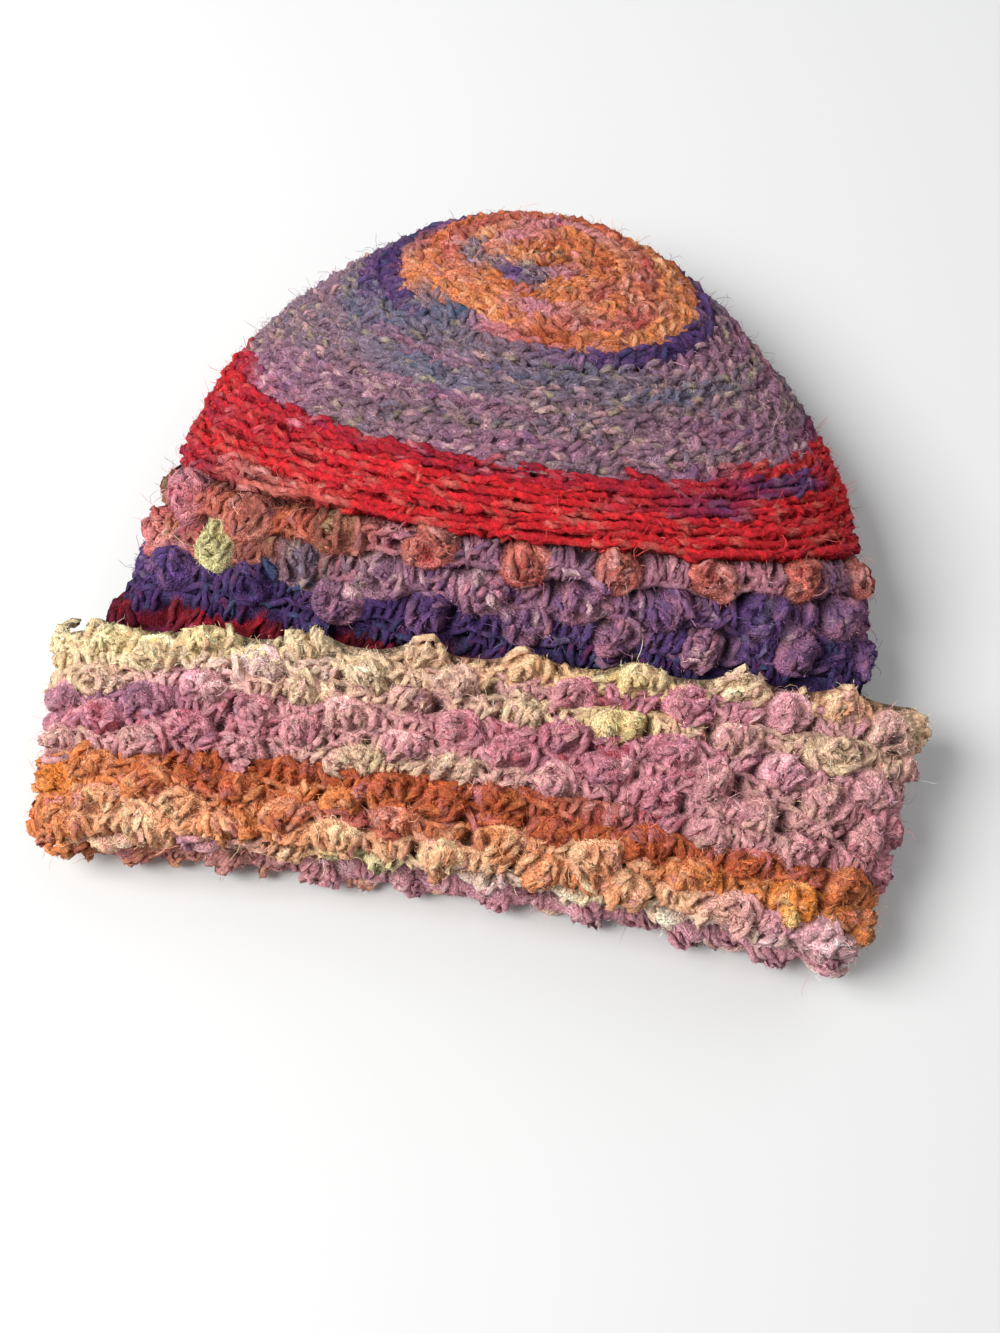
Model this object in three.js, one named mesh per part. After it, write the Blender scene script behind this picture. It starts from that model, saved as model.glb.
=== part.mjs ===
// A crocheted beanie of thick wool, lying on its back as it settles on a seat.
// The mouth points to -Y, the crown to +Y, the front wall faces up, and the back wall rests on z = 0.
// One fabric goes from the crown's centre down to the brim, folds outwards there and comes back up as
// the cuff. Each colour of yarn is a band of its own, and neighbours meet edge to edge.
import * as THREE from 'three';

// Driving dimensions, in millimetres.
const BODY_WALL = 6; // one layer of crochet
const CUFF_WALL = 7; // the turned-up layer, worked a little looser
const SEAM = 0.5; // gap between two bands that meet
const REPEATS = 18; // bobbles in one round
const FIRST_BOBBLE = 0.095; // where the cuff's first bobble stands, in repeats from the right end
const COLUMNS = REPEATS * 4; // facets round an outer face
const PLAIN_COLUMNS = COLUMNS / 2; // facets round a face without relief

const BOBBLE = 5.5; // how far a bobble stands out
const BOBBLE_SHARPNESS = 0.6; // under 1 is a puff with a narrow valley beside it, over 1 is a peak
const RIB = 2.2; // how far a ribbed round stands out
const SCALLOP = 2.5; // how far the cuff's edge rises at each bobble
const CROWN_THINNING = 0.3; // how much thinner the wall is at the crown's centre

// Rounds of an outer face, one per row of the table. along is the fabric's length up from the brim. frontY
// to backZ are the round's highest and lowest point in the plane x = 0. half is its reach along X and shift
// its centre. share says how high the widest place lies. top and base are the powers of its upper and lower
// curve: 2 is an ellipse, more is squarer. skew moves the right end to +Y and the left end to -Y, and bow
// moves both ends to -Y.
const PLACES = ['along', 'frontY', 'frontZ', 'backY', 'backZ', 'half', 'shift'];
const CURVES = ['share', 'top', 'base', 'skew', 'bow'];
const KEYS = [...PLACES, ...CURVES];
const rounds = (table) => table.map((row) => Object.fromEntries(KEYS.map((key, i) => [key, row[i]])));

const BODY_ROUNDS = rounds([
  [0, 3.5, 32, 3.5, 9, 119.5, -2, 0.42, 3.2, 3.6, -2.5, 7],
  [40, 36, 37.5, 38, 8, 125, 1, 0.42, 3.1, 3.6, 1, 2],
  [72, 65, 40, 74, 8.5, 127, 1.5, 0.42, 2.9, 3.4, -1, -3],
  [90, 80, 53, 104, 0, 121, 3.5, 0.42, 2.5, 3.4, 0, -5],
  [118, 100, 69, 148, 0, 115, 4, 0.42, 2.3, 3.2, -1, -5],
  [150, 122, 77, 196, 1, 102.5, 3.3, 0.42, 2.2, 2.8, -4, -4],
  [180, 144, 79, 228, 10, 81, 2.8, 0.44, 2.1, 2.3, -4, -2],
  [205, 161, 75, 244, 27, 58, 3.8, 0.47, 2.05, 2.1, -3, 0],
  [222, 177, 72, 240, 42, 41, 3.8, 0.5, 2, 2, -2, 0],
  [264, 208, 64, 208, 64, 0, 3.5, 0.5, 2, 2, 0, 0],
]);

const CUFF_ROUNDS = rounds([
  [0, 4.5, 41, 4.5, 1, 130.7, -2, 0.45, 3, 3.6, -2.5, 8],
  [40, 34, 47, 36, 0, 135.5, 1.5, 0.45, 3, 3.8, 2, 3],
  [80, 66, 54, 73, 0, 140.5, 3, 0.45, 2.7, 3.8, 5.7, -1],
]);

// Bands of the body and then of the cuff, each from its lower edge to its upper edge.
const HEM = { from: 8, to: 82, rows: 2 };
const BOBBLE_BAND = { from: 82, to: 118, rows: 3 };
const RED_BAND = { from: 118, to: 150, rows: 4 };
const CROWN_SIDE = { from: 150, to: 204, rows: 3 };
const CROWN_DISC = { from: 204, to: 264, shares: [0, 0.3, 0.6, 0.85] };
const CUFF_FOLD = { from: 6, to: 31, rows: 3, tipSteps: 4, tipReach: 8, creaseReach: 2 };
const CUFF_BAND = { from: 31, to: 62, rows: 4 };
const CUFF_EDGE = { from: 62, to: 80, rows: 2 };

// One round at any place along the fabric, by a smooth curve through each column of the table.
function roundAt(table, along) {
  let i = 0;
  while (i < table.length - 2 && along > table[i + 1].along) i++;
  const step = (k) => table[k + 1].along - table[k].along;
  const rise = (k, key) => (table[k + 1][key] - table[k][key]) / step(k);
  const slope = (k, key) => {
    if (k === 0) return rise(0, key);
    if (k === table.length - 1) return rise(k - 1, key);
    return (rise(k - 1, key) * step(k) + rise(k, key) * step(k - 1)) / (step(k) + step(k - 1));
  };
  const t = (along - table[i].along) / step(i);
  const made = {};
  for (const key of KEYS) {
    const fromStart = (2 * t ** 3 - 3 * t ** 2 + 1) * table[i][key];
    const startSlope = (t ** 3 - 2 * t ** 2 + t) * slope(i, key) * step(i);
    const fromEnd = (3 * t ** 2 - 2 * t ** 3) * table[i + 1][key];
    const endSlope = (t ** 3 - t ** 2) * slope(i + 1, key) * step(i);
    made[key] = fromStart + startSlope + fromEnd + endSlope;
  }
  return made;
}

// A point of a round at an angle: 0 is the right end, a quarter turn is the top.
function pointAtAngle(round, angle) {
  const cos = Math.cos(angle);
  const sin = Math.sin(angle);
  const power = 2 / (sin >= 0 ? round.top : round.base);
  const reach = Math.sign(cos) * Math.abs(cos) ** power;
  const height = Math.abs(sin) ** power;
  const sideY = THREE.MathUtils.lerp(round.backY, round.frontY, round.share);
  const sideZ = THREE.MathUtils.lerp(round.backZ, round.frontZ, round.share);
  const x = round.shift + round.half * reach;
  const y = THREE.MathUtils.lerp(sideY, sin >= 0 ? round.frontY : round.backY, height);
  const z = THREE.MathUtils.lerp(sideZ, sin >= 0 ? round.frontZ : round.backZ, height);
  return new THREE.Vector3(x, y + round.skew * reach - round.bow * reach ** 2, z);
}

const FINE_STEPS = 720;
const measured = new Map([[BODY_ROUNDS, new Map()], [CUFF_ROUNDS, new Map()]]);

// A round as many points, with the length of the round up to each.
function measuredRound(table, along) {
  const known = measured.get(table);
  if (!known.has(along)) {
    const round = roundAt(table, along);
    const angles = Array.from({ length: FINE_STEPS + 1 }, (_, k) => (2 * Math.PI * k) / FINE_STEPS);
    const points = angles.map((angle) => pointAtAngle(round, angle));
    const lengths = [0];
    for (let k = 1; k <= FINE_STEPS; k++) lengths.push(lengths[k - 1] + points[k].distanceTo(points[k - 1]));
    known.set(along, { points, lengths });
  }
  return known.get(along);
}

// A point of an outer face. turn goes from 0 to 1 by equal lengths round it, so stitches are equally wide.
function facePoint(table, turn, along) {
  const { points, lengths } = measuredRound(table, along);
  const wanted = (((turn % 1) + 1) % 1) * lengths[FINE_STEPS];
  let low = 0;
  let high = FINE_STEPS;
  while (high - low > 1) {
    const middle = (low + high) >> 1;
    if (lengths[middle] <= wanted) low = middle;
    else high = middle;
  }
  const share = (wanted - lengths[low]) / Math.max(lengths[high] - lengths[low], 1e-9);
  return points[low].clone().lerp(points[high], share);
}

// The outward direction of a face, from two short steps across it.
function faceNormal(table, turn, along) {
  const stepTurn = 0.004;
  const stepAlong = 2;
  const a = Math.min(along, table[table.length - 1].along - 2 * stepAlong);
  const across = facePoint(table, turn + stepTurn, a).sub(facePoint(table, turn - stepTurn, a));
  const up = facePoint(table, turn, a + stepAlong).sub(facePoint(table, turn, Math.max(a - stepAlong, 0)));
  return up.cross(across).normalize();
}

const onFloor = (point) => point.setZ(Math.max(point.z, 0));

function overFace(table, turn, along, height) {
  return onFloor(facePoint(table, turn, along).addScaledVector(faceNormal(table, turn, along), height));
}

// Reliefs of an outer face. row counts the band's rounds of stitches from its lower edge.
const across = (row) => 0.5 - 0.5 * Math.cos(2 * Math.PI * row);
const plain = () => 0;
const ribs = (turn, row) => RIB * across(row);

// Rounds of bobbles. phases says for each round how far its bobbles are moved on, in repeats.
const bobbles = (phases) => (turn, row) => {
  const phase = phases[Math.min(Math.floor(row), phases.length - 1)];
  const around = 0.5 + 0.5 * Math.cos(2 * Math.PI * (turn * REPEATS - FIRST_BOBBLE - phase));
  return BOBBLE * around ** BOBBLE_SHARPNESS * across(row);
};

const scallop = (turn) => SCALLOP * Math.cos(2 * Math.PI * (turn * REPEATS - FIRST_BOBBLE));

// Triangles between two rings of points, which may have a different number of points.
function stitch(faces, lower, upper) {
  let i = 0;
  let j = 0;
  while (i < lower.length || j < upper.length) {
    const a = lower[i % lower.length];
    const b = upper[j % upper.length];
    const lowerNext = (i + 0.5) / lower.length <= (j + 0.5) / upper.length;
    if (j === upper.length || (i < lower.length && lowerNext)) {
      faces.push(a, b, lower[(i + 1) % lower.length]);
      i++;
    } else {
      faces.push(a, b, upper[(j + 1) % upper.length]);
      j++;
    }
  }
}

function geometryFrom(points, faces) {
  const geometry = new THREE.BufferGeometry().setFromPoints(points);
  geometry.setIndex(faces);
  geometry.computeVertexNormals();
  return geometry;
}

// A closed body from rings of points that follow its section once round.
function closedBody(rings) {
  const points = [];
  const faces = [];
  const indexed = rings.map((ring) => ring.map((point) => points.push(point) - 1));
  indexed.forEach((ring, k) => stitch(faces, ring, indexed[(k + 1) % indexed.length]));
  return geometryFrom(points, faces);
}

function ringOf(columns, pointOf) {
  return Array.from({ length: columns }, (_, k) => pointOf(k / columns + FIRST_BOBBLE / REPEATS));
}

const lowEdge = (band) => band.from + SEAM / 2;
const highEdge = (band) => band.to - SEAM / 2;

// Rings up the outer face of a band: two for each row, so that a row's middle can stand out.
function outerRings(table, band, relief, edge) {
  const steps = band.rows * 2;
  return Array.from({ length: steps + 1 }, (_, k) => {
    const share = k / steps;
    const level = THREE.MathUtils.lerp(lowEdge(band), highEdge(band), share);
    return ringOf(COLUMNS, (turn) =>
      overFace(table, turn, level + edge(turn) * share ** 4, relief(turn, share * band.rows)),
    );
  });
}

function innerRings(table, band, wall, steps) {
  return Array.from({ length: steps + 1 }, (_, k) => {
    const level = THREE.MathUtils.lerp(lowEdge(band), highEdge(band), k / steps);
    return ringOf(PLAIN_COLUMNS, (turn) => overFace(table, turn, level, -wall));
  });
}

// A tube of fabric: up its outer face and down its inner face.
function bandBody(table, band, { wall, relief, innerSteps = 2, edge = plain }) {
  const outer = outerRings(table, band, relief, edge);
  const inner = innerRings(table, band, wall, innerSteps);
  return closedBody([...outer, ...inner.reverse()]);
}

// The crown's cap: a closed disc of fabric that ends in one point on each face.
function discBody() {
  const points = [];
  const faces = [];
  const face = (wall, rimColumns) => {
    const columns = [rimColumns, PLAIN_COLUMNS, PLAIN_COLUMNS, PLAIN_COLUMNS / 2];
    return CROWN_DISC.shares.map((share, k) => {
      const level = THREE.MathUtils.lerp(lowEdge(CROWN_DISC), CROWN_DISC.to, share);
      const ring = ringOf(columns[k], (turn) =>
        overFace(BODY_ROUNDS, turn, level, -wall * (1 - CROWN_THINNING * share)),
      );
      return ring.map((point) => points.push(point) - 1);
    });
  };
  const outer = face(0, COLUMNS);
  const inner = face(BODY_WALL, PLAIN_COLUMNS);
  const centre = facePoint(BODY_ROUNDS, 0, CROWN_DISC.to);
  const outwards = faceNormal(BODY_ROUNDS, 0.25, CROWN_DISC.to);
  const outerPole = points.push(centre.clone()) - 1;
  const innerPole = points.push(centre.addScaledVector(outwards, -BODY_WALL * (1 - CROWN_THINNING))) - 1;
  stitch(faces, inner[0], outer[0]);
  for (let k = 1; k < outer.length; k++) {
    stitch(faces, outer[k - 1], outer[k]);
    stitch(faces, inner[k], inner[k - 1]);
  }
  outer.at(-1).forEach((a, k, rim) => faces.push(a, outerPole, rim[(k + 1) % rim.length]));
  inner.at(-1).forEach((a, k, rim) => faces.push(a, rim[(k + 1) % rim.length], innerPole));
  return geometryFrom(points, faces);
}

// Rings round a half turn from one edge to another, bulging towards the mouth.
function turnOver(columns, fromPoint, toPoint, reach) {
  return Array.from({ length: CUFF_FOLD.tipSteps - 1 }, (_, k) => {
    const angle = (Math.PI * (k + 1)) / CUFF_FOLD.tipSteps;
    return ringOf(columns, (turn) => {
      const a = fromPoint(turn);
      const b = toPoint(turn);
      const middle = a.clone().lerp(b, 0.5);
      const half = a.sub(b).multiplyScalar(0.5 * Math.cos(angle));
      const made = middle.add(half);
      made.y -= reach * Math.sin(angle);
      return onFloor(made);
    });
  });
}

// The brim's fold: up the cuff's outer face, down its inner face, and round a half turn to the hem.
function foldBody() {
  const cuffOuter = outerRings(CUFF_ROUNDS, CUFF_FOLD, bobbles([0.5, 0, 0.5]), plain);
  const cuffInner = innerRings(CUFF_ROUNDS, CUFF_FOLD, CUFF_WALL, 2);
  const hemAt = (height) => (turn) => overFace(BODY_ROUNDS, turn, HEM.from - SEAM / 2, height);
  const cuffAt = (height) => (turn) => overFace(CUFF_ROUNDS, turn, lowEdge(CUFF_FOLD), height);
  const crease = turnOver(PLAIN_COLUMNS, cuffAt(-CUFF_WALL), hemAt(0), CUFF_FOLD.creaseReach);
  const hemOuter = ringOf(COLUMNS, hemAt(0));
  const hemInner = ringOf(PLAIN_COLUMNS, hemAt(-BODY_WALL));
  const tip = turnOver(COLUMNS, hemAt(-BODY_WALL), cuffAt(0), CUFF_FOLD.tipReach);
  return closedBody([...cuffOuter, ...cuffInner.reverse(), ...crease, hemOuter, hemInner, ...tip]);
}

function bodyBand(band, relief, innerSteps) {
  return bandBody(BODY_ROUNDS, band, { wall: BODY_WALL, relief, innerSteps });
}

function cuffBand(band, relief, edge) {
  return bandBody(CUFF_ROUNDS, band, { wall: CUFF_WALL, relief, edge });
}

function piece(name, geometry, color) {
  const wool = new THREE.MeshStandardMaterial({ color, roughness: 0.95, metalness: 0 });
  const mesh = new THREE.Mesh(geometry, wool);
  mesh.name = name;
  return mesh;
}

const hat = new THREE.Group();
hat.add(
  piece('crown_disc', discBody(), '#c9793c'),
  piece('crown_side', bodyBand(CROWN_SIDE, plain, 3), '#75606a'),
  piece('red_band', bodyBand(RED_BAND, ribs), '#c0333a'),
  piece('bobble_band', bodyBand(BOBBLE_BAND, bobbles([0.07, 0.62, 0.24])), '#5b3d63'),
  piece('hem_band', bodyBand(HEM, plain), '#7d2530'),
  piece('cuff_fold', foldBody(), '#c9733f'),
  piece('cuff_band', cuffBand(CUFF_BAND, bobbles([0, 0.5, 0, 0.5])), '#b5787f'),
  piece('cuff_edge', cuffBand(CUFF_EDGE, bobbles([0, 0]), scallop), '#cdb07c'),
);

// The origin lies under the middle of the hat, where it rests.
const box = new THREE.Box3().setFromObject(hat);
const middle = box.getCenter(new THREE.Vector3());
hat.position.set(-middle.x, -middle.y, -box.min.z);

export default hat;
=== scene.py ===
"""A crocheted beanie of thick self-striping wool, lying on its back with its cuff turned up.

Every strand is two twisted plies that follow the fabric's rounds and lie half sunk in matted wool, and loose
fibres lie over both.
Lengths in the tables and functions are millimetres; the sizes in the panel are metres.
"""
import math

import bpy
import numpy as np
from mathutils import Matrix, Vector


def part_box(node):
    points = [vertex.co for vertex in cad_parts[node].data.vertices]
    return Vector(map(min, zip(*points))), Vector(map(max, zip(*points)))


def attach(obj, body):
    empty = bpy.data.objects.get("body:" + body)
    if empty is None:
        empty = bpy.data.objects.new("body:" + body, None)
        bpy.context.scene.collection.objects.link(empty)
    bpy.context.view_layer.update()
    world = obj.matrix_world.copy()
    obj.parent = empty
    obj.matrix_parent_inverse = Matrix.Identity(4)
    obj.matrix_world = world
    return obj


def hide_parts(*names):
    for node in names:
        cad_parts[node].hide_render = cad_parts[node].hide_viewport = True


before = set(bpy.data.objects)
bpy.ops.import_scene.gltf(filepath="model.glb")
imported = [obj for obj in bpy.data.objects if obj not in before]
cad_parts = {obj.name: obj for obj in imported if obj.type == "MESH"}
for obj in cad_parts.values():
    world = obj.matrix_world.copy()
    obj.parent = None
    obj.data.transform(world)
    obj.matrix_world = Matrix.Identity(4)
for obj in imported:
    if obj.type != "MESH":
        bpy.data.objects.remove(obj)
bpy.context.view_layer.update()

bl_info = {
    "name": "Crocheted beanie",
    "version": (1, 0, 0),
    "blender": (4, 5, 0),
    "location": "3D View > Sidebar > Beanie",
    "description": "Dresses the beanie's bands with crocheted wool",
    "category": "Object",
}

METRE = 1000.0  # millimetres in a metre

# Rounds of the fabric's outer face. Columns: length up from the brim; highest point's Y and Z and lowest
# point's Y and Z at the middle; reach along X and its shift; how high the widest place lies; powers of the
# upper and lower curve; skew towards +Y at the right end; pull of both ends towards -Y.
BODY_ROUNDS = np.array([
    (0, 3.5, 32, 3.5, 9, 119.5, -2, 0.42, 3.2, 3.6, -2.5, 7),
    (40, 36, 37.5, 38, 8, 125, 1, 0.42, 3.1, 3.6, 1, 2),
    (72, 65, 40, 74, 8.5, 127, 1.5, 0.42, 2.9, 3.4, -1, -3),
    (90, 80, 53, 104, 0, 121, 3.5, 0.42, 2.5, 3.4, 0, -5),
    (118, 100, 69, 148, 0, 115, 4, 0.42, 2.3, 3.2, -1, -5),
    (150, 122, 77, 196, 1, 102.5, 3.3, 0.42, 2.2, 2.8, -4, -4),
    (180, 144, 79, 228, 10, 81, 2.8, 0.44, 2.1, 2.3, -4, -2),
    (205, 161, 75, 244, 27, 58, 3.8, 0.47, 2.05, 2.1, -3, 0),
    (222, 177, 72, 240, 42, 41, 3.8, 0.5, 2, 2, -2, 0),
    (264, 208, 64, 208, 64, 0, 3.5, 0.5, 2, 2, 0, 0),
])
CUFF_ROUNDS = np.array([
    (0, 4.5, 41, 4.5, 1, 130.7, -2, 0.45, 3, 3.6, -2.5, 8),
    (40, 34, 47, 36, 0, 135.5, 1.5, 0.45, 3, 3.8, 2, 3),
    (80, 66, 54, 73, 0, 140.5, 3, 0.45, 2.7, 3.8, 5.7, -1),
])
BODY_WALL = 6.0  # thickness of the body's fabric
CROWN = 264  # length up to the crown's centre
DISC_EDGE = 204.25  # where the crown's disc begins
FOLD_OUTSIDE = 6  # the cuff's face ends here and the fold begins
FOLD_LENGTH = 24  # length of fabric round the fold
FOLD_REACH = 8.0  # how far the fold bulges past its two faces
INSIDE_FIRST = 8  # the body's row where the layer inside the mouth begins
INSIDE_LENGTH = 62  # fabric shown inside the mouth
CUFF_EDGE = 80  # length up to the cuff's edge
EDGE_SPARE = 12  # length past the cuff's edge that the picots use
PICOT_FOOT = 79.2  # length up to the edge between two picots
PICOT_RISE = 4.2  # how far a picot stands past it
PICOT_FOLDED = 3.0  # how much less it stands out where the cuff folds round
REPEATS = 18  # bobbles in a round
STITCH_LENGTH = 7.4  # length of a plain stitch up the fabric
RIB = 2.3  # distance of a ribbed round's two strands from its middle
SLANTED = 44  # slanting strands along each side of a red round
ROPE_STEP = 2.0  # distance between the points of a rope
ROPE_START = 0.74  # the turn where ropes begin and end, at the back
TURNS = 720  # points in a round
FINE = 2880  # steps a round is measured in
FELT_PITCH = 0.88  # distance between the points of the matted wool
FELT_COARSE = 2.4  # how much further apart they are underneath
FELT_LOW = -3.2  # its height where no strand is near
FELT_SINK = 0.45  # how far it lies below the strands' tops
FELT_DEPTH = 5.8  # how far its inner face lies below the rounds
FELT_BACK = 9  # distance between the rows of its inner face
FELT_FLOOR = 0.4  # its lowest place over the surface that the hat lies on
STRAND_FALL = 0.95  # how fast the wool falls away beside a strand, for each square millimetre
STRAND_REACH = 2.2  # how far beside a strand the wool is shaped by it
MOUND_SINK = 1.5  # how far the wool lies below the top of a bobble's body
MOUND_REACH = 5.0  # how far beside a bobble's body the wool is shaped by it
EDGE_ROUND = np.array([0.9, 0.65, 0.25])  # how the wool's height falls over a free edge, row by row
EDGE_LOW = -1.6  # the height that it falls to
GROUND_COLUMNS = 180  # points in a round of plain ground
GROUND_WALL = 3.2  # thickness of plain ground
UPSIDE = (-0.04, 0.54)  # turns between which the fabric faces up or sideways
UNDERSIDE = -0.3  # strands that face down more than this are pressed flat
UNDER_FIBRES = -0.35  # no fibre starts where the wool faces down more than this

# Camera of the photograph, before the hat is centred, in millimetres.
CAMERA_PLACE = (30.4, -94.6, 492.3)
CAMERA_AIM = (7.0, 72.0, 30.0)
LENS = 40.5


def unit(v):
    """The same directions, each of length one."""
    return v / np.maximum(np.linalg.norm(v, axis=-1, keepdims=True), 1e-9)


def dot(a, b):
    return (a * b).sum(-1, keepdims=True)


def ease(t):
    """A smooth step from 0 to 1."""
    t = np.clip(t, 0, 1)
    return t * t * (3 - 2 * t)


def smooth_rows(table, alongs):
    """The table's columns at any length along, by a smooth curve through each."""
    x = table[:, 0]
    step = np.diff(x)[:, None]
    rise = np.diff(table, axis=0) / step
    slope = np.empty_like(table)
    slope[0], slope[-1] = rise[0], rise[-1]
    slope[1:-1] = (rise[1:] * step[:-1] + rise[:-1] * step[1:]) / (step[1:] + step[:-1])
    i = np.clip(np.searchsorted(x, alongs) - 1, 0, len(x) - 2)
    h = step[i]
    t = (np.asarray(alongs, float)[:, None] - x[i][:, None]) / h
    return ((2 * t**3 - 3 * t**2 + 1) * table[i] + (t**3 - 2 * t**2 + t) * slope[i] * h
            + (3 * t**2 - 2 * t**3) * table[i + 1] + (t**3 - t**2) * slope[i + 1] * h)


def rings(table, alongs):
    """Rounds as TURNS points each, an equal length apart, from the right end over the top."""
    columns = smooth_rows(table, alongs).T[:, :, None]
    _, front_y, front_z, back_y, back_z, half, shift, share, top, base, skew, bow = columns
    angle = np.linspace(0, 2 * np.pi, FINE + 1)
    cos, sin = np.cos(angle), np.sin(angle)
    upper = sin >= 0
    power = 2 / np.where(upper, top, base)
    reach = np.sign(cos) * np.abs(cos) ** power
    height = np.abs(sin) ** power
    side_y = back_y + share * (front_y - back_y)
    side_z = back_z + share * (front_z - back_z)
    x = shift + half * reach
    y = side_y + (np.where(upper, front_y, back_y) - side_y) * height + skew * reach - bow * reach**2
    z = side_z + (np.where(upper, front_z, back_z) - side_z) * height
    points = np.stack([x, y, z], -1)
    lengths = np.linalg.norm(np.diff(points, axis=1), axis=-1).cumsum(axis=1)
    made = np.empty((len(points), TURNS, 3))
    for row, (ring, length) in enumerate(zip(points, lengths)):
        total = np.concatenate([[0], length])
        wanted = np.arange(TURNS) / TURNS * total[-1]
        for axis in range(3):
            made[row, :, axis] = np.interp(wanted, total, ring[:, axis])
    return made


class Fabric:
    """One face of the fabric, as a round of points for each millimetre up from its first row."""

    def __init__(self, first, points):
        self.first = first
        self.points = points
        across = np.roll(points, -1, axis=1) - np.roll(points, 1, axis=1)
        self.normals = unit(np.cross(np.gradient(points, axis=0), across))
        self.girths = np.linalg.norm(np.roll(points, -1, axis=1) - points, axis=-1).sum(1)

    def place(self, along, turn, height):
        """Points over the face at a height, and the outward direction there."""
        row = np.clip(along - self.first, 0, len(self.points) - 1.001)
        column = (turn % 1) * TURNS
        r = row.astype(int)
        c = column.astype(int) % TURNS
        c2 = (c + 1) % TURNS
        f = (row - r)[..., None]
        g = (column - np.floor(column))[..., None]

        def blend(grid):
            low = grid[r, c] * (1 - g) + grid[r, c2] * g
            high = grid[r + 1, c] * (1 - g) + grid[r + 1, c2] * g
            return low * (1 - f) + high * f

        normal = unit(blend(self.normals))
        return blend(self.points) + normal * np.asarray(height)[..., None], normal

    def girth(self, along):
        rows = self.first + np.arange(len(self.girths))
        return np.interp(along, rows, self.girths)


def frame_shift():
    """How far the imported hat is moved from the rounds' own frame."""
    low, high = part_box("crown_disc")
    own = rings(BODY_ROUNDS, np.arange(DISC_EDGE, CROWN, 1.0)).reshape(-1, 3)
    middle = (low[0] + high[0]) / 2 * METRE
    return np.array([middle - (own[:, 0].max() + own[:, 0].min()) / 2, high[1] * METRE - own[:, 1].max(), 0])


def body_fabric():
    body = Fabric(0, rings(BODY_ROUNDS, np.arange(CROWN + 1.0)) + SHIFT)
    body.normals[-3:] = unit(body.normals[-4].mean(axis=0))
    return body


def cuff_fabric():
    """The cuff's face, then round the fold, and on along the inside of the brim."""
    cuff = rings(CUFF_ROUNDS, np.arange(FOLD_OUTSIDE, CUFF_EDGE + 1.0)) + SHIFT
    rise = (cuff[-1] - cuff[-4]) / 3
    spare = cuff[-1] + rise * np.arange(1, EDGE_SPARE + 1)[:, None, None]
    rows = slice(INSIDE_FIRST, INSIDE_FIRST + INSIDE_LENGTH)
    inside = BODY.points[rows] - BODY.normals[rows] * BODY_WALL
    half_turn = np.pi * np.arange(1, FOLD_LENGTH)[:, None, None] / FOLD_LENGTH
    fold = (cuff[0] + inside[0]) / 2 + (cuff[0] - inside[0]) / 2 * np.cos(half_turn)
    fold[..., 1:2] -= FOLD_REACH * np.sin(half_turn)
    points = np.concatenate([inside[::-1], fold[::-1], cuff, spare])
    return Fabric(FOLD_OUTSIDE - FOLD_LENGTH - INSIDE_LENGTH + 1, points)


SHIFT = frame_shift()
BODY = body_fabric()
CUFF = cuff_fabric()


def dye(label, red, green, blue):
    """A colour of wool in the panel."""
    return bpy.props.FloatVectorProperty(
        name=label, description=f"Colour of the {label.lower()} wool", subtype="COLOR_GAMMA",
        size=3, min=0, max=1, default=(red, green, blue))


def length(label, description, default):
    """A length in the panel, in metres."""
    return bpy.props.FloatProperty(name=label, description=description, unit="LENGTH", min=0, default=default)


class BeanieDyes(bpy.types.PropertyGroup):
    """Colours of the wool."""

    orange: dye("Orange", 0.88, 0.53, 0.32)
    bright_orange: dye("Bright orange", 0.90, 0.52, 0.20)
    peach: dye("Peach", 0.96, 0.73, 0.57)
    rust: dye("Rust", 0.72, 0.35, 0.21)
    brown: dye("Brown", 0.47, 0.28, 0.22)
    coral: dye("Coral", 0.77, 0.43, 0.38)
    red: dye("Red", 0.82, 0.14, 0.17)
    crimson: dye("Crimson", 0.68, 0.13, 0.19)
    dark_red: dye("Dark red", 0.36, 0.06, 0.11)
    plum: dye("Plum", 0.46, 0.16, 0.31)
    violet: dye("Violet", 0.36, 0.25, 0.46)
    indigo: dye("Indigo", 0.27, 0.18, 0.37)
    slate: dye("Slate", 0.25, 0.36, 0.47)
    blue_grey: dye("Blue grey", 0.46, 0.44, 0.52)
    mauve_grey: dye("Mauve grey", 0.53, 0.42, 0.47)
    mauve: dye("Mauve", 0.60, 0.42, 0.51)
    rose: dye("Rose", 0.82, 0.53, 0.58)
    pink: dye("Pink", 0.90, 0.64, 0.68)
    pale_pink: dye("Pale pink", 0.97, 0.80, 0.79)
    dusty_pink: dye("Dusty pink", 0.88, 0.66, 0.64)
    beige: dye("Beige", 0.92, 0.78, 0.64)
    cream: dye("Cream", 0.98, 0.88, 0.71)
    straw: dye("Straw", 0.95, 0.83, 0.58)
    olive: dye("Olive", 0.72, 0.65, 0.49)
    lime: dye("Yellow green", 0.84, 0.80, 0.58)


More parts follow.
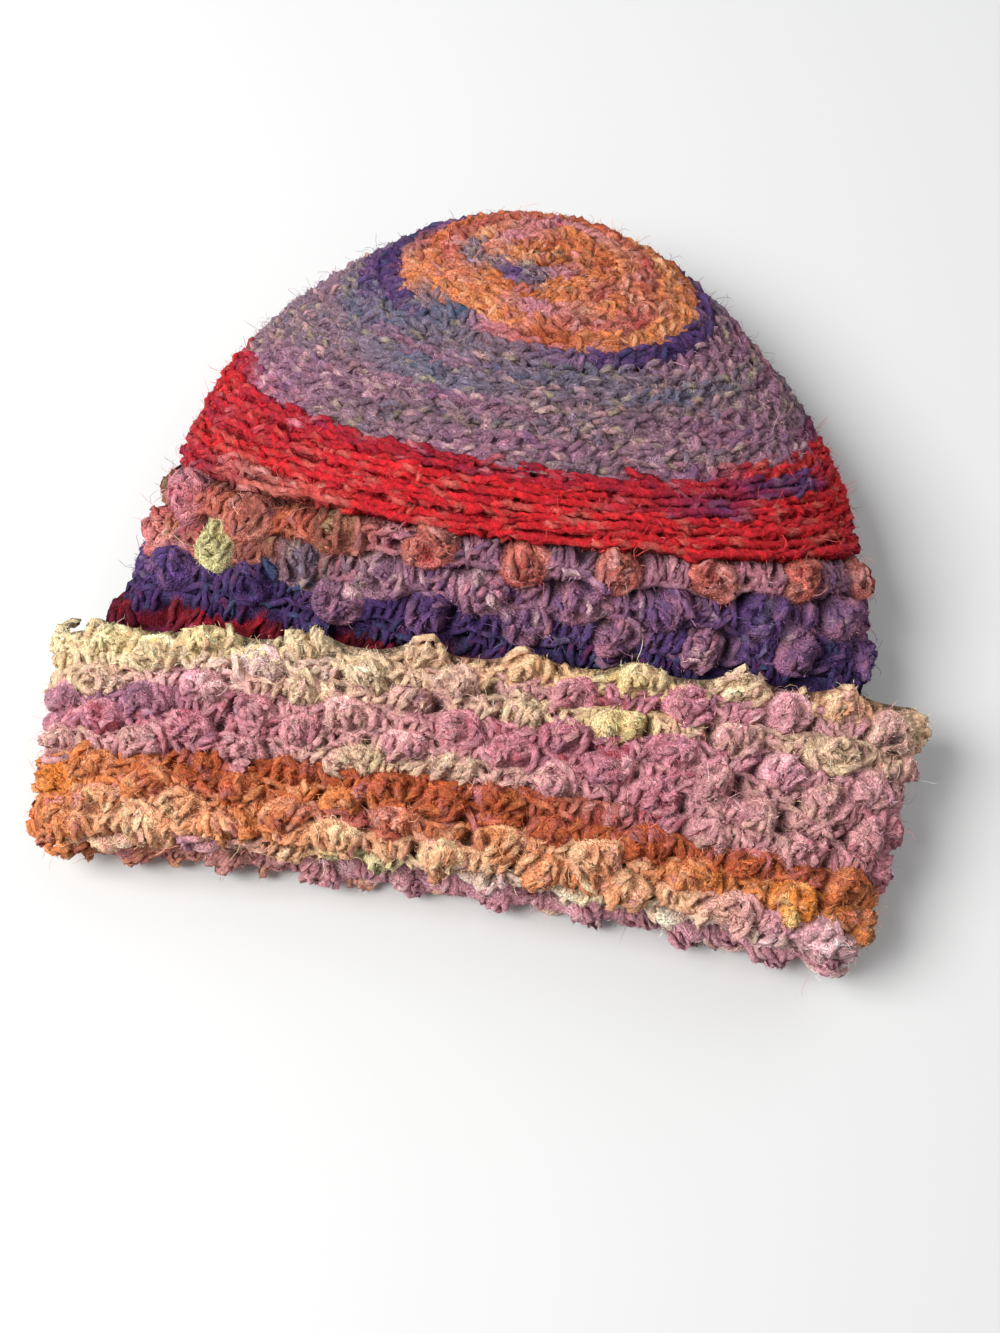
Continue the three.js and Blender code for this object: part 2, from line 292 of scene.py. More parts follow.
# Wools that are spun into each colour, most to least.
HEATHER = {
    "orange": ("peach", "rust", "rose"),
    "bright_orange": ("orange", "peach", "straw"),
    "peach": ("cream", "orange", "pink"),
    "rust": ("orange", "coral", "rose"),
    "brown": ("rust", "olive", "mauve"),
    "coral": ("dusty_pink", "crimson", "brown"),
    "red": ("coral", "crimson", "red"),
    "crimson": ("red", "plum", "rose"),
    "dark_red": ("crimson", "plum", "dark_red"),
    "plum": ("violet", "crimson", "mauve"),
    "violet": ("mauve", "indigo", "blue_grey"),
    "indigo": ("violet", "slate", "plum"),
    "slate": ("blue_grey", "indigo", "olive"),
    "blue_grey": ("mauve_grey", "slate", "olive"),
    "mauve_grey": ("blue_grey", "dusty_pink", "olive"),
    "mauve": ("rose", "violet", "pale_pink"),
    "rose": ("mauve", "dusty_pink", "crimson"),
    "pink": ("rose", "pale_pink", "mauve"),
    "pale_pink": ("cream", "pink", "beige"),
    "dusty_pink": ("beige", "rose", "mauve"),
    "beige": ("cream", "dusty_pink", "olive"),
    "cream": ("beige", "straw", "peach"),
    "straw": ("cream", "beige", "peach"),
    "olive": ("beige", "straw", "dusty_pink"),
    "lime": ("olive", "straw", "cream"),
}


class BeanieSizes(bpy.types.PropertyGroup):
    """Sizes of the yarn and its stitches."""

    ply: length("Ply radius", "Radius of one of the two plies of a strand", 0.00090)
    twist: length("Twist", "Length of strand in which its plies turn once", 0.0090)
    bobble_width: length("Bobble width", "Width of a bobble across the round", 0.0134)
    bobble_length: length("Bobble length", "Length of a bobble up the fabric", 0.0126)
    bobble_height: length("Bobble height", "How far a bobble's strands stand over the fabric", 0.0040)
    stitch_width: length("Stitch width", "Width of a single crochet on the crown", 0.0078)
    fibre: length("Fibre thickness", "Radius of a loose fibre in its middle", 0.00009)
    fibre_length: length("Fibre length", "Length of an average loose fibre", 0.0050)
    fuzz: bpy.props.FloatProperty(
        name="Fuzz", description="How many loose fibres there are, against the usual number",
        subtype="FACTOR", min=0, max=2, default=1)


def size(name):
    """A size of the panel in millimetres."""
    return getattr(bpy.context.scene.beanie_sizes, name) * METRE


def linear(colour):
    """A screen colour as light."""
    colour = np.asarray(colour, float)
    return np.where(colour <= 0.04045, colour / 12.92, ((colour + 0.055) / 1.055) ** 2.4)


def dyed(stops, turns):
    """Colours of a row at each turn: its own wool and the three that are spun into it.

    stops says which wool the row has from which turn on, such as "0 red, .4 rust".
    """
    dyes = bpy.context.scene.beanie_dyes
    pairs = [item.split() for item in stops.split(",")]
    at = np.array([float(turn) for turn, _ in pairs])
    at = np.concatenate([[at[-1] - 1], at, [at[0] + 1]])
    names = [name for _, name in pairs]
    names = [names[-1], *names, names[0]]
    made = []
    for which in range(4):
        wools = [name if which == 0 else HEATHER[name][which - 1] for name in names]
        table = np.array([linear(getattr(dyes, wool)) for wool in wools])
        wrapped = np.where(turns % 1 < at[1], turns % 1 + (at[1] < 0), turns % 1)
        made.append(np.stack([np.interp(wrapped, at, table[:, k]) for k in range(3)], -1))
    return made


def along_path(points, hints):
    """Tangents of each path, two directions across it that don't twist, and the length up to each point."""
    tangents = unit(np.gradient(points, axis=1))
    sides = np.empty_like(points)
    sides[:, 0] = unit(hints - tangents[:, 0] * dot(hints, tangents[:, 0]))
    for i in range(1, points.shape[1]):
        chord = points[:, i] - points[:, i - 1]
        scale = 2 / np.maximum(dot(chord, chord), 1e-9)
        side = sides[:, i - 1] - scale * dot(chord, sides[:, i - 1]) * chord
        tangent = tangents[:, i - 1] - scale * dot(chord, tangents[:, i - 1]) * chord
        turn = tangents[:, i] - tangent
        sides[:, i] = unit(side - 2 / np.maximum(dot(turn, turn), 1e-9) * dot(turn, side) * turn)
    steps = np.linalg.norm(np.diff(points, axis=1), axis=-1)
    lengths = np.concatenate([np.zeros((len(points), 1)), steps.cumsum(axis=1)], axis=1)
    return tangents, sides, np.cross(tangents, sides), lengths


class Wool:
    """Gathers the strands or fibres of one piece, and makes its mesh."""

    KNOT = 4.5  # length of ply in which its colour changes
    SECTION = np.array([1.58, 1.20, 1.58, 1.20])  # radii of a strand in ply radii, over its plies and grooves
    GROOVE_PAINTED_SHADE = 0.72  # painted shade: share of the colour kept in the groove between two plies, darkened for the crevice there
    LUMP = np.array([0.30, 0.74, 0.97, 1.0, 0.84, 0.42])  # widths along a lump
    LUMP_PAINTED_SHADE = 0.8  # painted shade: share of the colour kept by a lump's wool, darkened because it lies under the strands
    FLOOR = 1.6  # lowest place of a strand's middle, so that it lies on the ground

    def __init__(self, seed):
        self.rng = np.random.default_rng(seed)
        self.count = 0
        self.vertices, self.colours, self.faces, self.caps = [], [], [], []
        self.face_uvs, self.cap_uvs = [], []
        self.laid, self.mounds = [], []  # strands and bobbles' bodies, which shape the matted wool
        self.skin = []  # places that loose fibres may start from

    def tubes(self, centres, sides, others, radii, colours, lengths):
        """Closed tubes round each path, with a radius and a colour for each corner of each ring."""
        paths, rows, around = radii.shape
        angle = 2 * np.pi * np.arange(around) / around
        spokes = np.cos(angle)[:, None] * sides[:, :, None] + np.sin(angle)[:, None] * others[:, :, None]
        ring = centres[:, :, None] + radii[..., None] * spokes
        index = self.count + np.arange(paths * rows * around).reshape(paths, rows, around)
        after = np.roll(index, -1, axis=2)
        walls = np.stack([index[:, :-1], after[:, :-1], after[:, 1:], index[:, 1:]], -1)
        self.faces.append(walls.reshape(-1, 4))
        self.vertices.append(ring.reshape(-1, 3))
        self.colours.append(colours.reshape(-1, 3))
        self.count += index.size
        caps = np.concatenate([index[:, 0, ::-1], index[:, -1]])
        self.caps.append(caps)
        self.cap_uvs.append(np.zeros((caps.size, 2)))
        u = np.broadcast_to(np.arange(around) / around, (paths, rows - 1, around))
        low = np.broadcast_to(lengths[:, :-1, None], u.shape)
        high = np.broadcast_to(lengths[:, 1:, None], u.shape)
        step = 1 / around
        uv = np.stack([u, low, u + step, low, u + step, high, u, high], -1)
        self.face_uvs.append(uv.reshape(-1, 2))
        return ring, spokes

    def spindles(self, centres, out, radius, colours):
        """Three-sided fibres that are pointed at both ends."""
        paths, rows = centres.shape[:2]
        _, sides, others, _ = along_path(centres, out + 0.01)
        angle = 2 * np.pi * np.arange(3) / 3
        spokes = (np.cos(angle)[:, None] * sides[:, 1:-1, None]
                  + np.sin(angle)[:, None] * others[:, 1:-1, None])
        ring = centres[:, 1:-1, None] + radius[:, None, None, None] * spokes
        each = 3 * (rows - 2) + 2
        vertices = np.concatenate([centres[:, :1], ring.reshape(paths, -1, 3), centres[:, -1:]], axis=1)
        start = self.count + each * np.arange(paths)[:, None, None]
        corner = 1 + 3 * np.arange(rows - 2)[:, None] + np.arange(3)
        after = np.roll(corner, -1, axis=1)
        root = np.stack([np.zeros(3, int), after[0], corner[0]], -1)
        tip = np.stack([corner[-1], after[-1], np.full(3, each - 1)], -1)
        self.vertices.append(vertices.reshape(-1, 3))
        self.colours.append(np.repeat(colours, each, axis=0))
        self.count += paths * each
        self.caps.append((start + np.concatenate([root, tip])).reshape(-1, 3))
        if rows > 3:
            walls = np.stack([corner[:-1], after[:-1], after[1:], corner[1:]], -1).reshape(-1, 4)
            self.faces.append((start + walls).reshape(-1, 4))

    def over(self, fabric, along, turn, local):
        """A stitch's points over the fabric: across, up and over its place."""
        turns = turn[:, None] + local[..., 0] / fabric.girth(along)[:, None]
        points, normals = fabric.place(along[:, None] + local[..., 1], turns, local[..., 2])
        return turns, points, normals

    def yarn(self, fabric, along, turn, local, stops, thick=1.0, drawn=True):
        """Strands of two plies over a fabric, which shape the matted wool and may be drawn themselves."""
        turns, points, normals = self.over(fabric, along, turn, local)
        points[..., 2] = np.maximum(points[..., 2], self.FLOOR * thick)
        _, sides, others, lengths = along_path(points, normals[:, 0])
        rng = self.rng
        ply = size("ply") * thick
        taper = ease(np.minimum(lengths, lengths[:, -1:] - lengths) / (2 * ply) + 0.35)
        angle = (2 * np.pi * lengths / size("twist") + rng.uniform(0, 2 * np.pi, (len(points), 1)))[..., None]
        plies = np.cos(angle) * sides + np.sin(angle) * others
        grooves = np.cos(angle) * others - np.sin(angle) * sides
        radii = ply * taper[..., None] * self.SECTION * rng.uniform(0.86, 1.14, (*lengths.shape, 4))
        # Painted shade: the lower a strand's point lies in the fabric, the darker its colour, for the shade
        # in the recesses.
        depth = 0.28 + 0.72 * ease((local[..., 2] + 3.4) / 4.0)
        wools = dyed(stops, turns)
        first, second = self.blend(wools, lengths), self.blend(wools, lengths)
        # Painted shade: the grooves between the plies are painted darker than the plies.
        between = (first + second) / 2 * self.GROOVE_PAINTED_SHADE
        colours = np.stack([first, between, second, between], 2) * depth[..., None, None]
        tone = (0.65 * first + 0.35 * second) * rng.normal(1, 0.15, (len(points), 1, 1))
        rise = local[..., 2] + ply * taper + rng.normal(0, 0.12, taper.shape)
        self.laid.append((along[:, None] + local[..., 1], turns, rise, tone))
        seen = normals[..., 2].mean(axis=1) > UNDERSIDE
        if not drawn or not seen.any():
            return
        shown = lengths / 10 + rng.uniform(0, 40, (len(points), 1))
        ring, spokes = self.tubes(*(part[seen] for part in (points, plies, grooves, radii, colours, shown)))
        facing = dot(spokes, normals[seen][:, :, None])[..., 0] + (local[seen][..., 2, None] + 1.0) * 0.4
        free = (facing > 0.1) & (taper[seen][:, :, None] > 0.9)
        self.grow_from(ring, spokes * 0.6 + normals[seen][:, :, None], colours[seen], free)

    def lump(self, fabric, along, turn, local, stops, wide, high):
        """Soft bodies that strands lie on, wide across and high over the fabric."""
        turns, _, _ = self.over(fabric, along, turn, local)
        # Painted shade: a lump's colours are darkened, as it lies under the strands.
        colours = self.blend(dyed(stops, turns), np.arange(6) * 2.0 + np.zeros_like(turns)) * self.LUMP_PAINTED_SHADE
        body = high[:, None] * self.LUMP
        self.mounds.append((along[:, None] + local[..., 1], turns, local[..., 2] + body, colours,
                            wide[:, None] * self.LUMP, body))

    def grow_from(self, ring, out, colours, keep):
        """Keep the places that loose fibres may start from."""
        self.skin.append((ring[keep], unit(out)[keep], colours[keep]))

    def blend(self, wools, lengths):
        """Colours along plies that change every few millimetres between the wools spun together."""
        rng = self.rng
        paths = len(lengths)
        knots = int(lengths.max() / self.KNOT) + 3
        share = rng.uniform(0, 1, (paths, knots))
        weights = np.zeros((paths, knots, 4))
        for k, (low, high) in enumerate(((0, 0.60), (0.60, 0.78), (0.78, 0.92), (0.92, 1.01))):
            weights[..., k] = (share >= low) & (share < high)
        weights = 0.66 * weights + 0.34 * np.array([1, 0, 0, 0])
        bright = rng.normal(1, 0.12, (paths, knots, 1)).clip(0.7, 1.35)
        x = lengths / self.KNOT + rng.uniform(0, 1, (paths, 1))
        i = x.astype(int)
        f = ease((x - i - 0.25) / 0.5)[..., None]
        row = np.arange(paths)[:, None]
        weight = weights[row, i] * (1 - f) + weights[row, i + 1] * f
        light = bright[row, i] * (1 - f) + bright[row, i + 1] * f
        return sum(wool * weight[..., k, None] for k, wool in enumerate(wools)) * light

    def make(self, name, material, node, slot):
        """The piece as an object that stands for its node."""
        vertices = np.concatenate(self.vertices) / METRE
        faces = np.concatenate(self.faces)
        caps = np.concatenate([cap.reshape(-1) for cap in self.caps])
        sizes = np.concatenate([np.full(len(cap), cap.shape[1]) for cap in self.caps])
        loops = np.concatenate([faces.reshape(-1), caps])
        starts = np.concatenate([np.arange(len(faces)) * 4, faces.size + np.cumsum(sizes) - sizes])
        mesh = bpy.data.meshes.new(name)
        mesh.vertices.add(len(vertices))
        mesh.vertices.foreach_set("co", vertices.astype(np.float32).reshape(-1))
        mesh.loops.add(len(loops))
        mesh.loops.foreach_set("vertex_index", loops.astype(np.int32))
        mesh.polygons.add(len(starts))
        mesh.polygons.foreach_set("loop_start", starts.astype(np.int32))
        mesh.polygons.foreach_set("use_smooth", np.ones(len(starts), bool))
        if self.face_uvs:
            uv = np.concatenate([*self.face_uvs, *self.cap_uvs]).astype(np.float32)
            mesh.uv_layers.new(name="Yarn").data.foreach_set("uv", uv.reshape(-1))
        paint(mesh, np.concatenate(self.colours))
        mesh.update(calc_edges=True)
        return finish_piece(bpy.data.objects.new(name, mesh), material, node, slot)


def paint(mesh, colours):
    """A colour for each of the mesh's points."""
    rgba = np.ones((len(colours), 4), np.float32)
    rgba[:, :3] = colours.clip(0, 1)
    mesh.color_attributes.new("Wool", "FLOAT_COLOR", "POINT").data.foreach_set("color", rgba.reshape(-1))


def finish_piece(obj, material, node, slot):
    """Put a piece in the scene, in place of its solid."""
    if obj.name not in bpy.context.scene.objects:
        bpy.context.scene.collection.objects.link(obj)
    obj.data.materials.clear()
    obj.data.materials.append(material)
    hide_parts(node)
    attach(obj, "root")
    return obj


def curve(controls, count):
    """A smooth path through control points, as a list of count points."""
    controls = np.asarray(controls, float)
    padded = np.concatenate([2 * controls[:1] - controls[1:2], controls, 2 * controls[-1:] - controls[-2:-1]])
    x = np.linspace(0, len(controls) - 1.0001, count)
    i = x.astype(int)
    t = (x - i)[:, None]
    a, b, c, d = (padded[i + k] for k in range(4))
    return b + 0.5 * t * (c - a + t * (2 * a - 5 * b + 4 * c - d + t * (3 * (b - c) + d - a)))


# Paths of a stitch's strands: across and up in widths and lengths of the stitch, and over in millimetres.
LEG = curve([(-.04, -.80, -3.6), (-.13, -.44, -1.2), (-.28, -.02, .5),
             (-.42, .38, -.7), (-.36, .64, -3.4)], 7)
RIM = curve([(-.40, -.30, -2.4), (-.46, .12, -.2), (-.26, .46, .5),
             (.26, .46, .5), (.46, .12, -.2), (.40, -.30, -2.4)], 11)
STRAY = curve([(-.50, -.10, -1.6), (-.22, .08, .5), (.22, -.08, .5), (.50, .10, -1.6)], 6)
WRAP_ACROSS = curve([(.34,), (.70,), (.95,), (.92,), (.60,)], 8)[:, 0]
WRAP_UP = curve([(-.60,), (-.34,), (.02,), (.36,), (.50,)], 8)[:, 0]
WRAP_OVER = curve([(-3.2,), (-.2,), (.86,), (.70,), (-2.8,)], 8)[:, 0]
LUMP_AT = [0, 2, 3, 4, 6, 7]  # points of a wrap that a lump's middle line goes through
LUMP_OVER = np.array([-2.2, -1.0, -0.2, 0, -0.2, -1.2])
CURL_BEND = np.linspace(-1, 1, 6)
CURL_LIFT = np.array([-0.7, 0.3, 0.6, 0.6, 0.3, -0.7])


def turned(local, angles):
    """Each stitch's points turned in the plane of the fabric."""
    cos, sin = np.cos(angles)[:, None], np.sin(angles)[:, None]
    u, v, h = local[..., 0], local[..., 1], local[..., 2]
    return np.stack([u * cos - v * sin, u * sin + v * cos, h], -1)


def shaken(rng, local, spread):
    """Stitches that aren't worked quite alike."""
    whole = rng.normal(0, spread, (len(local), 1, 3)) * (1, 1, 0.6)
    each = rng.normal(0, spread * 0.35, local.shape)
    each = (each + np.roll(each, 1, axis=1)) / 1.4
    return local + whole + each


def spots(phase, count=REPEATS):
    """Turns spaced evenly round the fabric."""
    return (np.arange(count) + phase) / count


def bobbles(wool, fabric, along, phase, stops, way, grow=1.0):
    """A round of bobbles: each is a bundle of loops, gathered at one end and full at the other."""
    rng = wool.rng
    place = along + rng.normal(0, 0.8, REPEATS)
    turn = spots(phase) + rng.normal(0, 0.0026, REPEATS)
    widths = size("bobble_width") * grow * rng.normal(1, 0.13, REPEATS)
    lengths = size("bobble_length") * grow * rng.normal(1, 0.10, REPEATS)
    tall = size("bobble_height") * grow * rng.normal(1, 0.14, REPEATS)
    tilt = rng.normal(0, 0.45, REPEATS)
    for q in (-0.36, 0.36):
        across = q * WRAP_ACROSS[LUMP_AT] * widths[:, None] / 2
        up = way * WRAP_UP[LUMP_AT] * lengths[:, None] * 0.92
        over = np.broadcast_to(LUMP_OVER, up.shape)
        local = turned(np.stack([across, up, over], -1), tilt)
        wide = widths * rng.uniform(0.28, 0.36, REPEATS)
        wool.lump(fabric, place, turn, local, stops, wide, tall * rng.uniform(0.90, 1.10, REPEATS))
    for q in (-0.85, -0.1, 0.7):
        q = q + rng.normal(0, 0.22, REPEATS)[:, None]
        dome = np.sqrt(1 - 0.62 * np.clip(q * q, 0, 1))
        over = np.where(WRAP_OVER > 0, WRAP_OVER * tall[:, None] * dome, WRAP_OVER)
        across = q * WRAP_ACROSS * widths[:, None] / 2
        up = way * WRAP_UP * lengths[:, None] * (0.82 + 0.18 * dome)
        local = turned(np.stack([across, up, over], -1), tilt + rng.normal(0, 0.6, REPEATS))
        wool.yarn(fabric, place, turn, shaken(rng, local, 0.7), stops, 1.2)
    for _ in range(5):
        curl(wool, fabric, place, turn, stops, widths, lengths, tall, way)
    scale = np.stack([widths, way * lengths, np.ones(REPEATS)], -1)[:, None]
    local = turned(RIM * scale, tilt + rng.normal(0, 0.30, REPEATS))
    local[..., 2] += (tall * 0.35)[:, None]
    wool.yarn(fabric, place, turn, shaken(rng, local, 0.5), stops, drawn=False)


def curl(wool, fabric, place, turn, stops, widths, lengths, tall, way):
    """A short curved strand that lies over each bobble in a direction of its own."""
    rng = wool.rng
    angle = rng.normal(np.pi / 2, 0.75, REPEATS)[:, None] + rng.normal(0, 0.9, REPEATS)[:, None] * CURL_BEND
    step = rng.uniform(1.0, 1.5, REPEATS)[:, None]
    u = np.cumsum(np.cos(angle) * step, axis=1)
    v = np.cumsum(np.sin(angle) * step, axis=1)
    u += (rng.uniform(-0.36, 0.36, REPEATS) * widths)[:, None] - u.mean(axis=1, keepdims=True)
    v += ((rng.uniform(-0.30, 0.36, REPEATS)) * way * lengths)[:, None] - v.mean(axis=1, keepdims=True)
    inside = 1 - (2 * u / widths[:, None])**2 - (1.9 * v / lengths[:, None])**2
    lift = CURL_LIFT + rng.normal(0, 0.45, (REPEATS, 1))
    over = tall[:, None] * np.sqrt(inside.clip(0, 1)) - 1.6 * (-inside).clip(0, 1) + lift
    wool.yarn(fabric, place, turn, shaken(rng, np.stack([u, v, over], -1), 0.2), stops, rng.uniform(0.8, 1.1))


def strays(wool, fabric, place, turn, stops, width, over, spread, slant=0.9, drawn=False):
    """A short strand that crosses each stitch at an angle of its own."""
    rng = wool.rng
    scale = np.stack([width, width, np.ones_like(width)], -1)[:, None]
    local = turned(STRAY * scale, rng.normal(0, slant, len(turn)))
    local = local + rng.normal(0, 1, (len(turn), 1, 3)) * (spread, spread, 0.3)
    local[..., 2] += over[:, None]
    wool.yarn(fabric, place, turn, shaken(rng, local, 0.3), stops, drawn=drawn)


def legs(wool, fabric, along, turn, width, length, stops, way=1, lean=0.0, spread=0.45, drawn=False):
    """Upright V stitches, a leg on each side of their middle."""
    rng = wool.rng
    for side in (-1, 1):
        scale = np.stack([side * width, np.full_like(width, way * length), np.ones_like(width)], -1)[:, None]
        local = turned(LEG * scale, lean + rng.normal(0, 0.16, len(turn)))
        wool.yarn(fabric, along, turn, shaken(rng, local, spread), stops, drawn=drawn)


def rope(wool, fabric, along, stops, up, over, thick=1.0, rise=0.0, drawn=True):
    """A strand all the way round. up and over give its place across the row, by the length round it."""
    girth = float(fabric.girth(along))
    count = int(girth / ROPE_STEP)
    u = np.linspace(0, girth, count)
    ends = ease(np.minimum(u, girth - u) / 6)
    local = np.stack([u, up(u, girth), over(u, girth) * ends - 3.0 * (1 - ends)], -1)[None]
    local = local + wool.rng.normal(0, 0.16, local.shape)
    local[..., 1] += rise * (u / girth - 0.5)
    wool.yarn(fabric, np.array([float(along)]), np.array([ROPE_START]), local, stops, thick, drawn=drawn)


def wave(u, girth, count, phase):
    """Waves that fit a whole number of times in the round, counted from its right end."""
    return np.cos(2 * np.pi * (count * (u / girth + ROPE_START) - phase))


def chain(wool, fabric, along, phase, stops, way, strands=1, reach=5.4):
    """The chain that a round of bobbles hangs on: it arches round each bobble's full end."""
    for k in range(strands):
        sign = 1 - 2 * k
        twist = wool.rng.uniform(0, 1)

        def up(u, girth):
            braid = wave(u, girth, REPEATS * 3, twist) * (1.2 if strands > 1 else 0.5)
            return way * (reach + 1.6 * wave(u, girth, REPEATS, phase)) + sign * braid

        def over(u, girth):
            braid = wave(u, girth, REPEATS * 3, twist + 0.25) * (0.9 if strands > 1 else 0.5)
            return -0.7 + sign * braid - 0.9 * wave(u, girth, REPEATS, phase)

        rope(wool, fabric, along, stops, up, over)


def filling(wool, fabric, along, phase, stops, way, count=3, drawn=True):
    """Short stitches between the bobbles of a round."""
    for k in range(count):
        share = (k + 1) / (count + 1)
        turn = spots(phase + 0.20 + 0.60 * share)
        place = np.full(REPEATS, along + 0.8 * way)
        wide = np.full(REPEATS, 6.0)
        legs(wool, fabric, place, turn, wide, 9.5, stops, way, 0.3 - 0.6 * share, 0.6, drawn=drawn)
        strays(wool, fabric, place, turn, stops, wide * 1.5, np.full(REPEATS, 0.3), 1.6, drawn=drawn)


def bobble_round(wool, fabric, along, phase, stops, way, grow=1.0, between=None):
    """A round of bobbles, and the short stitches and the chain between them, which may be in other wools."""
    bobbles(wool, fabric, along, phase, stops, way, grow=grow)
    filling(wool, fabric, along, phase, between or stops, way)
    chain(wool, fabric, along, phase, between or stops, way)


def folded(turn):
    """How near each turn is to the two ends where the flat cuff folds round, from 0 to 1."""
    return np.cos(2 * np.pi * turn)**8


def picots(turn):
    """How far up the cuff's edge reaches at each turn."""
    phase = EDGE_ROWS[0][1]
    tip = 0.5 + 0.5 * np.cos(2 * np.pi * (turn * REPEATS - phase))
    return PICOT_FOOT + (PICOT_RISE - PICOT_FOLDED * folded(turn)) * tip**1.6


def picot_round(wool, fabric, along, phase, stops):
    """The edge: bobbles that stand past it, and a braid that dips between them."""
    bobbles(wool, fabric, along + 0.9 - 3.4 * folded(spots(phase)), phase, stops, UP)
    filling(wool, fabric, along - 4.5, phase, stops, UP)
    chain(wool, fabric, along, phase, stops, UP, strands=2, reach=-0.5)
    chain(wool, fabric, along, phase, stops, UP, reach=-5.0)


def plain_round(wool, fabric, along, stops, width, rise=0.0, lean=1.0, mess=0.3):
    """A round of single crochet, which climbs to the next one as it goes round."""
    girth = float(fabric.girth(along))
    count = max(3, round(girth / width))
    wide = np.full(count, girth / count)
    for layer in range(2):
        turn = spots(wool.rng.uniform(0, 1), count)
        climb = rise * ((turn + 0.26) % 1 - 0.5)
        lift = -0.45 * STITCH_LENGTH * layer
        legs(wool, fabric, along + climb + lift, turn, wide, STITCH_LENGTH, stops, -1,
             lean * (1 - 0.4 * layer) + wool.rng.normal(0, mess, count), 0.5, drawn=layer == 0)
    if girth > 60:
        for low in (-0.1, -0.55):
            slots = wool.rng.integers(0, 1 << 30)

            def up(u, girth):
                return low * STITCH_LENGTH + 1.3 * wander(np.random.default_rng(slots), u, girth, 50)

            def high(u, girth):
                return wander(np.random.default_rng(slots + 1), u, girth, 70) - 0.9

            rope(wool, fabric, along, stops, up, high, rise=rise)


def wander(rng, u, girth, knots):
    """An uneven wave round the fabric, between -1 and 1."""
    values = rng.uniform(-1, 1, knots)
    x = u / girth * knots
    i = x.astype(int)
    f = ease(x - i)
    return values[i % knots] * (1 - f) + values[(i + 1) % knots] * f


def rib_round(wool, fabric, along, row, stops, over=0.3, thick=1.5, drawn=True):
    """Two thick strands side by side, drawn together where the round below is hooked on."""
    for side in (-1, 1):
        slots = wool.rng.integers(0, 1 << 30)

        def up(u, girth):
            rng = np.random.default_rng(slots)
            pinch = 0.5 + 0.5 * wave(u, girth, REPEATS, 0.1 + 0.5 * (row % 2)) * wander(rng, u, girth, 26)
            middle = side * (RIB - 0.9 * pinch)
            return middle + 0.9 * wander(rng, u, girth, 36) + 0.4 * wander(rng, u, girth, 90)

        def high(u, girth):
            rng = np.random.default_rng(slots + 1)
            return over + 0.9 * wander(rng, u, girth, 44) - 0.2 * side

        rope(wool, fabric, along, stops, up, high, thick, drawn=drawn)


class Socket:
    """A node's output, so that shader sums can be written as they are."""

    def __init__(self, shader, output):
        self.shader = shader
        self.output = output

    def sum(self, operation, *values):
        return self.shader.node("ShaderNodeMath", {"operation": operation}, dict(enumerate(values)))

    def __add__(self, other):
        return self.sum("ADD", self, other)

    def __mul__(self, other):
        return self.sum("MULTIPLY", self, other)

    __radd__ = __add__
    __rmul__ = __mul__


class Shader:
    """A material whose nodes are written as expressions."""

    def __init__(self, name):
        self.material = bpy.data.materials.new(name)
        self.material.use_nodes = True
        self.tree = self.material.node_tree
        self.surface = self.tree.nodes["Principled BSDF"]

    def node(self, kind, settings=None, inputs=None, output=0):
        made = self.tree.nodes.new(kind)
        for name, value in (settings or {}).items():
            setattr(made, name, value)
        for name, value in (inputs or {}).items():
            self.feed(made.inputs[name], value)
        return Socket(self, made.outputs[output])

    def feed(self, socket, value):
        if isinstance(value, Socket):
            self.tree.links.new(value.output, socket)
        else:
            socket.default_value = value

    def painted(self):
        """The colours that the wool's points carry."""
        return self.node("ShaderNodeVertexColor", {"layer_name": "Wool"})

    def place(self):
        return self.node("ShaderNodeTexCoord", {}, {}, 3)

    def noise(self, vector, scale, detail=2.0, roughness=0.5):
        return self.node("ShaderNodeTexNoise", {}, {
            "Vector": vector, "Scale": scale, "Detail": detail, "Roughness": roughness})

    def clear(self, value, low, high):
        """A pattern's values from low to high, spread over 0 to 1."""
        return self.node("ShaderNodeMapRange", {}, {"Value": value, "From Min": low, "From Max": high})

    def flecks(self, place, scale):
        """Small fibres that catch the light, so many to a metre."""
        return self.clear(self.noise(place, scale, 2.0, 0.7), 0.30, 0.70)

    def wisps(self, place, scale, distortion, detail_scale):
        """Crossing fibres, as bent bands."""
        return self.node("ShaderNodeTexWave", {"wave_type": "BANDS", "bands_direction": "DIAGONAL"}, {
            "Vector": place, "Scale": scale, "Distortion": distortion, "Detail": 3.0,
            "Detail Scale": detail_scale}, 1)

    def shaded(self, colour, light):
        """A colour made lighter and darker by a pattern."""
        grey = self.node("ShaderNodeCombineColor", {}, {"Red": light, "Green": light, "Blue": light})
        return self.node("ShaderNodeMix", {"data_type": "RGBA", "blend_type": "MULTIPLY"},
                         {0: 1.0, 6: colour, 7: grey}, 2)

    def relief(self, height, strength, distance):
        return self.node("ShaderNodeBump", {}, {"Strength": strength, "Distance": distance, "Height": height})

    def finish(self, **inputs):
        for name, value in inputs.items():
            self.feed(self.surface.inputs[name.replace("_", " ")], value)
        return self.material


WOOL_ROUGHNESS = 0.95
FLECKS = 1000.0  # small flecks to a metre
GRAIN = 2600.0  # single fibres to a metre


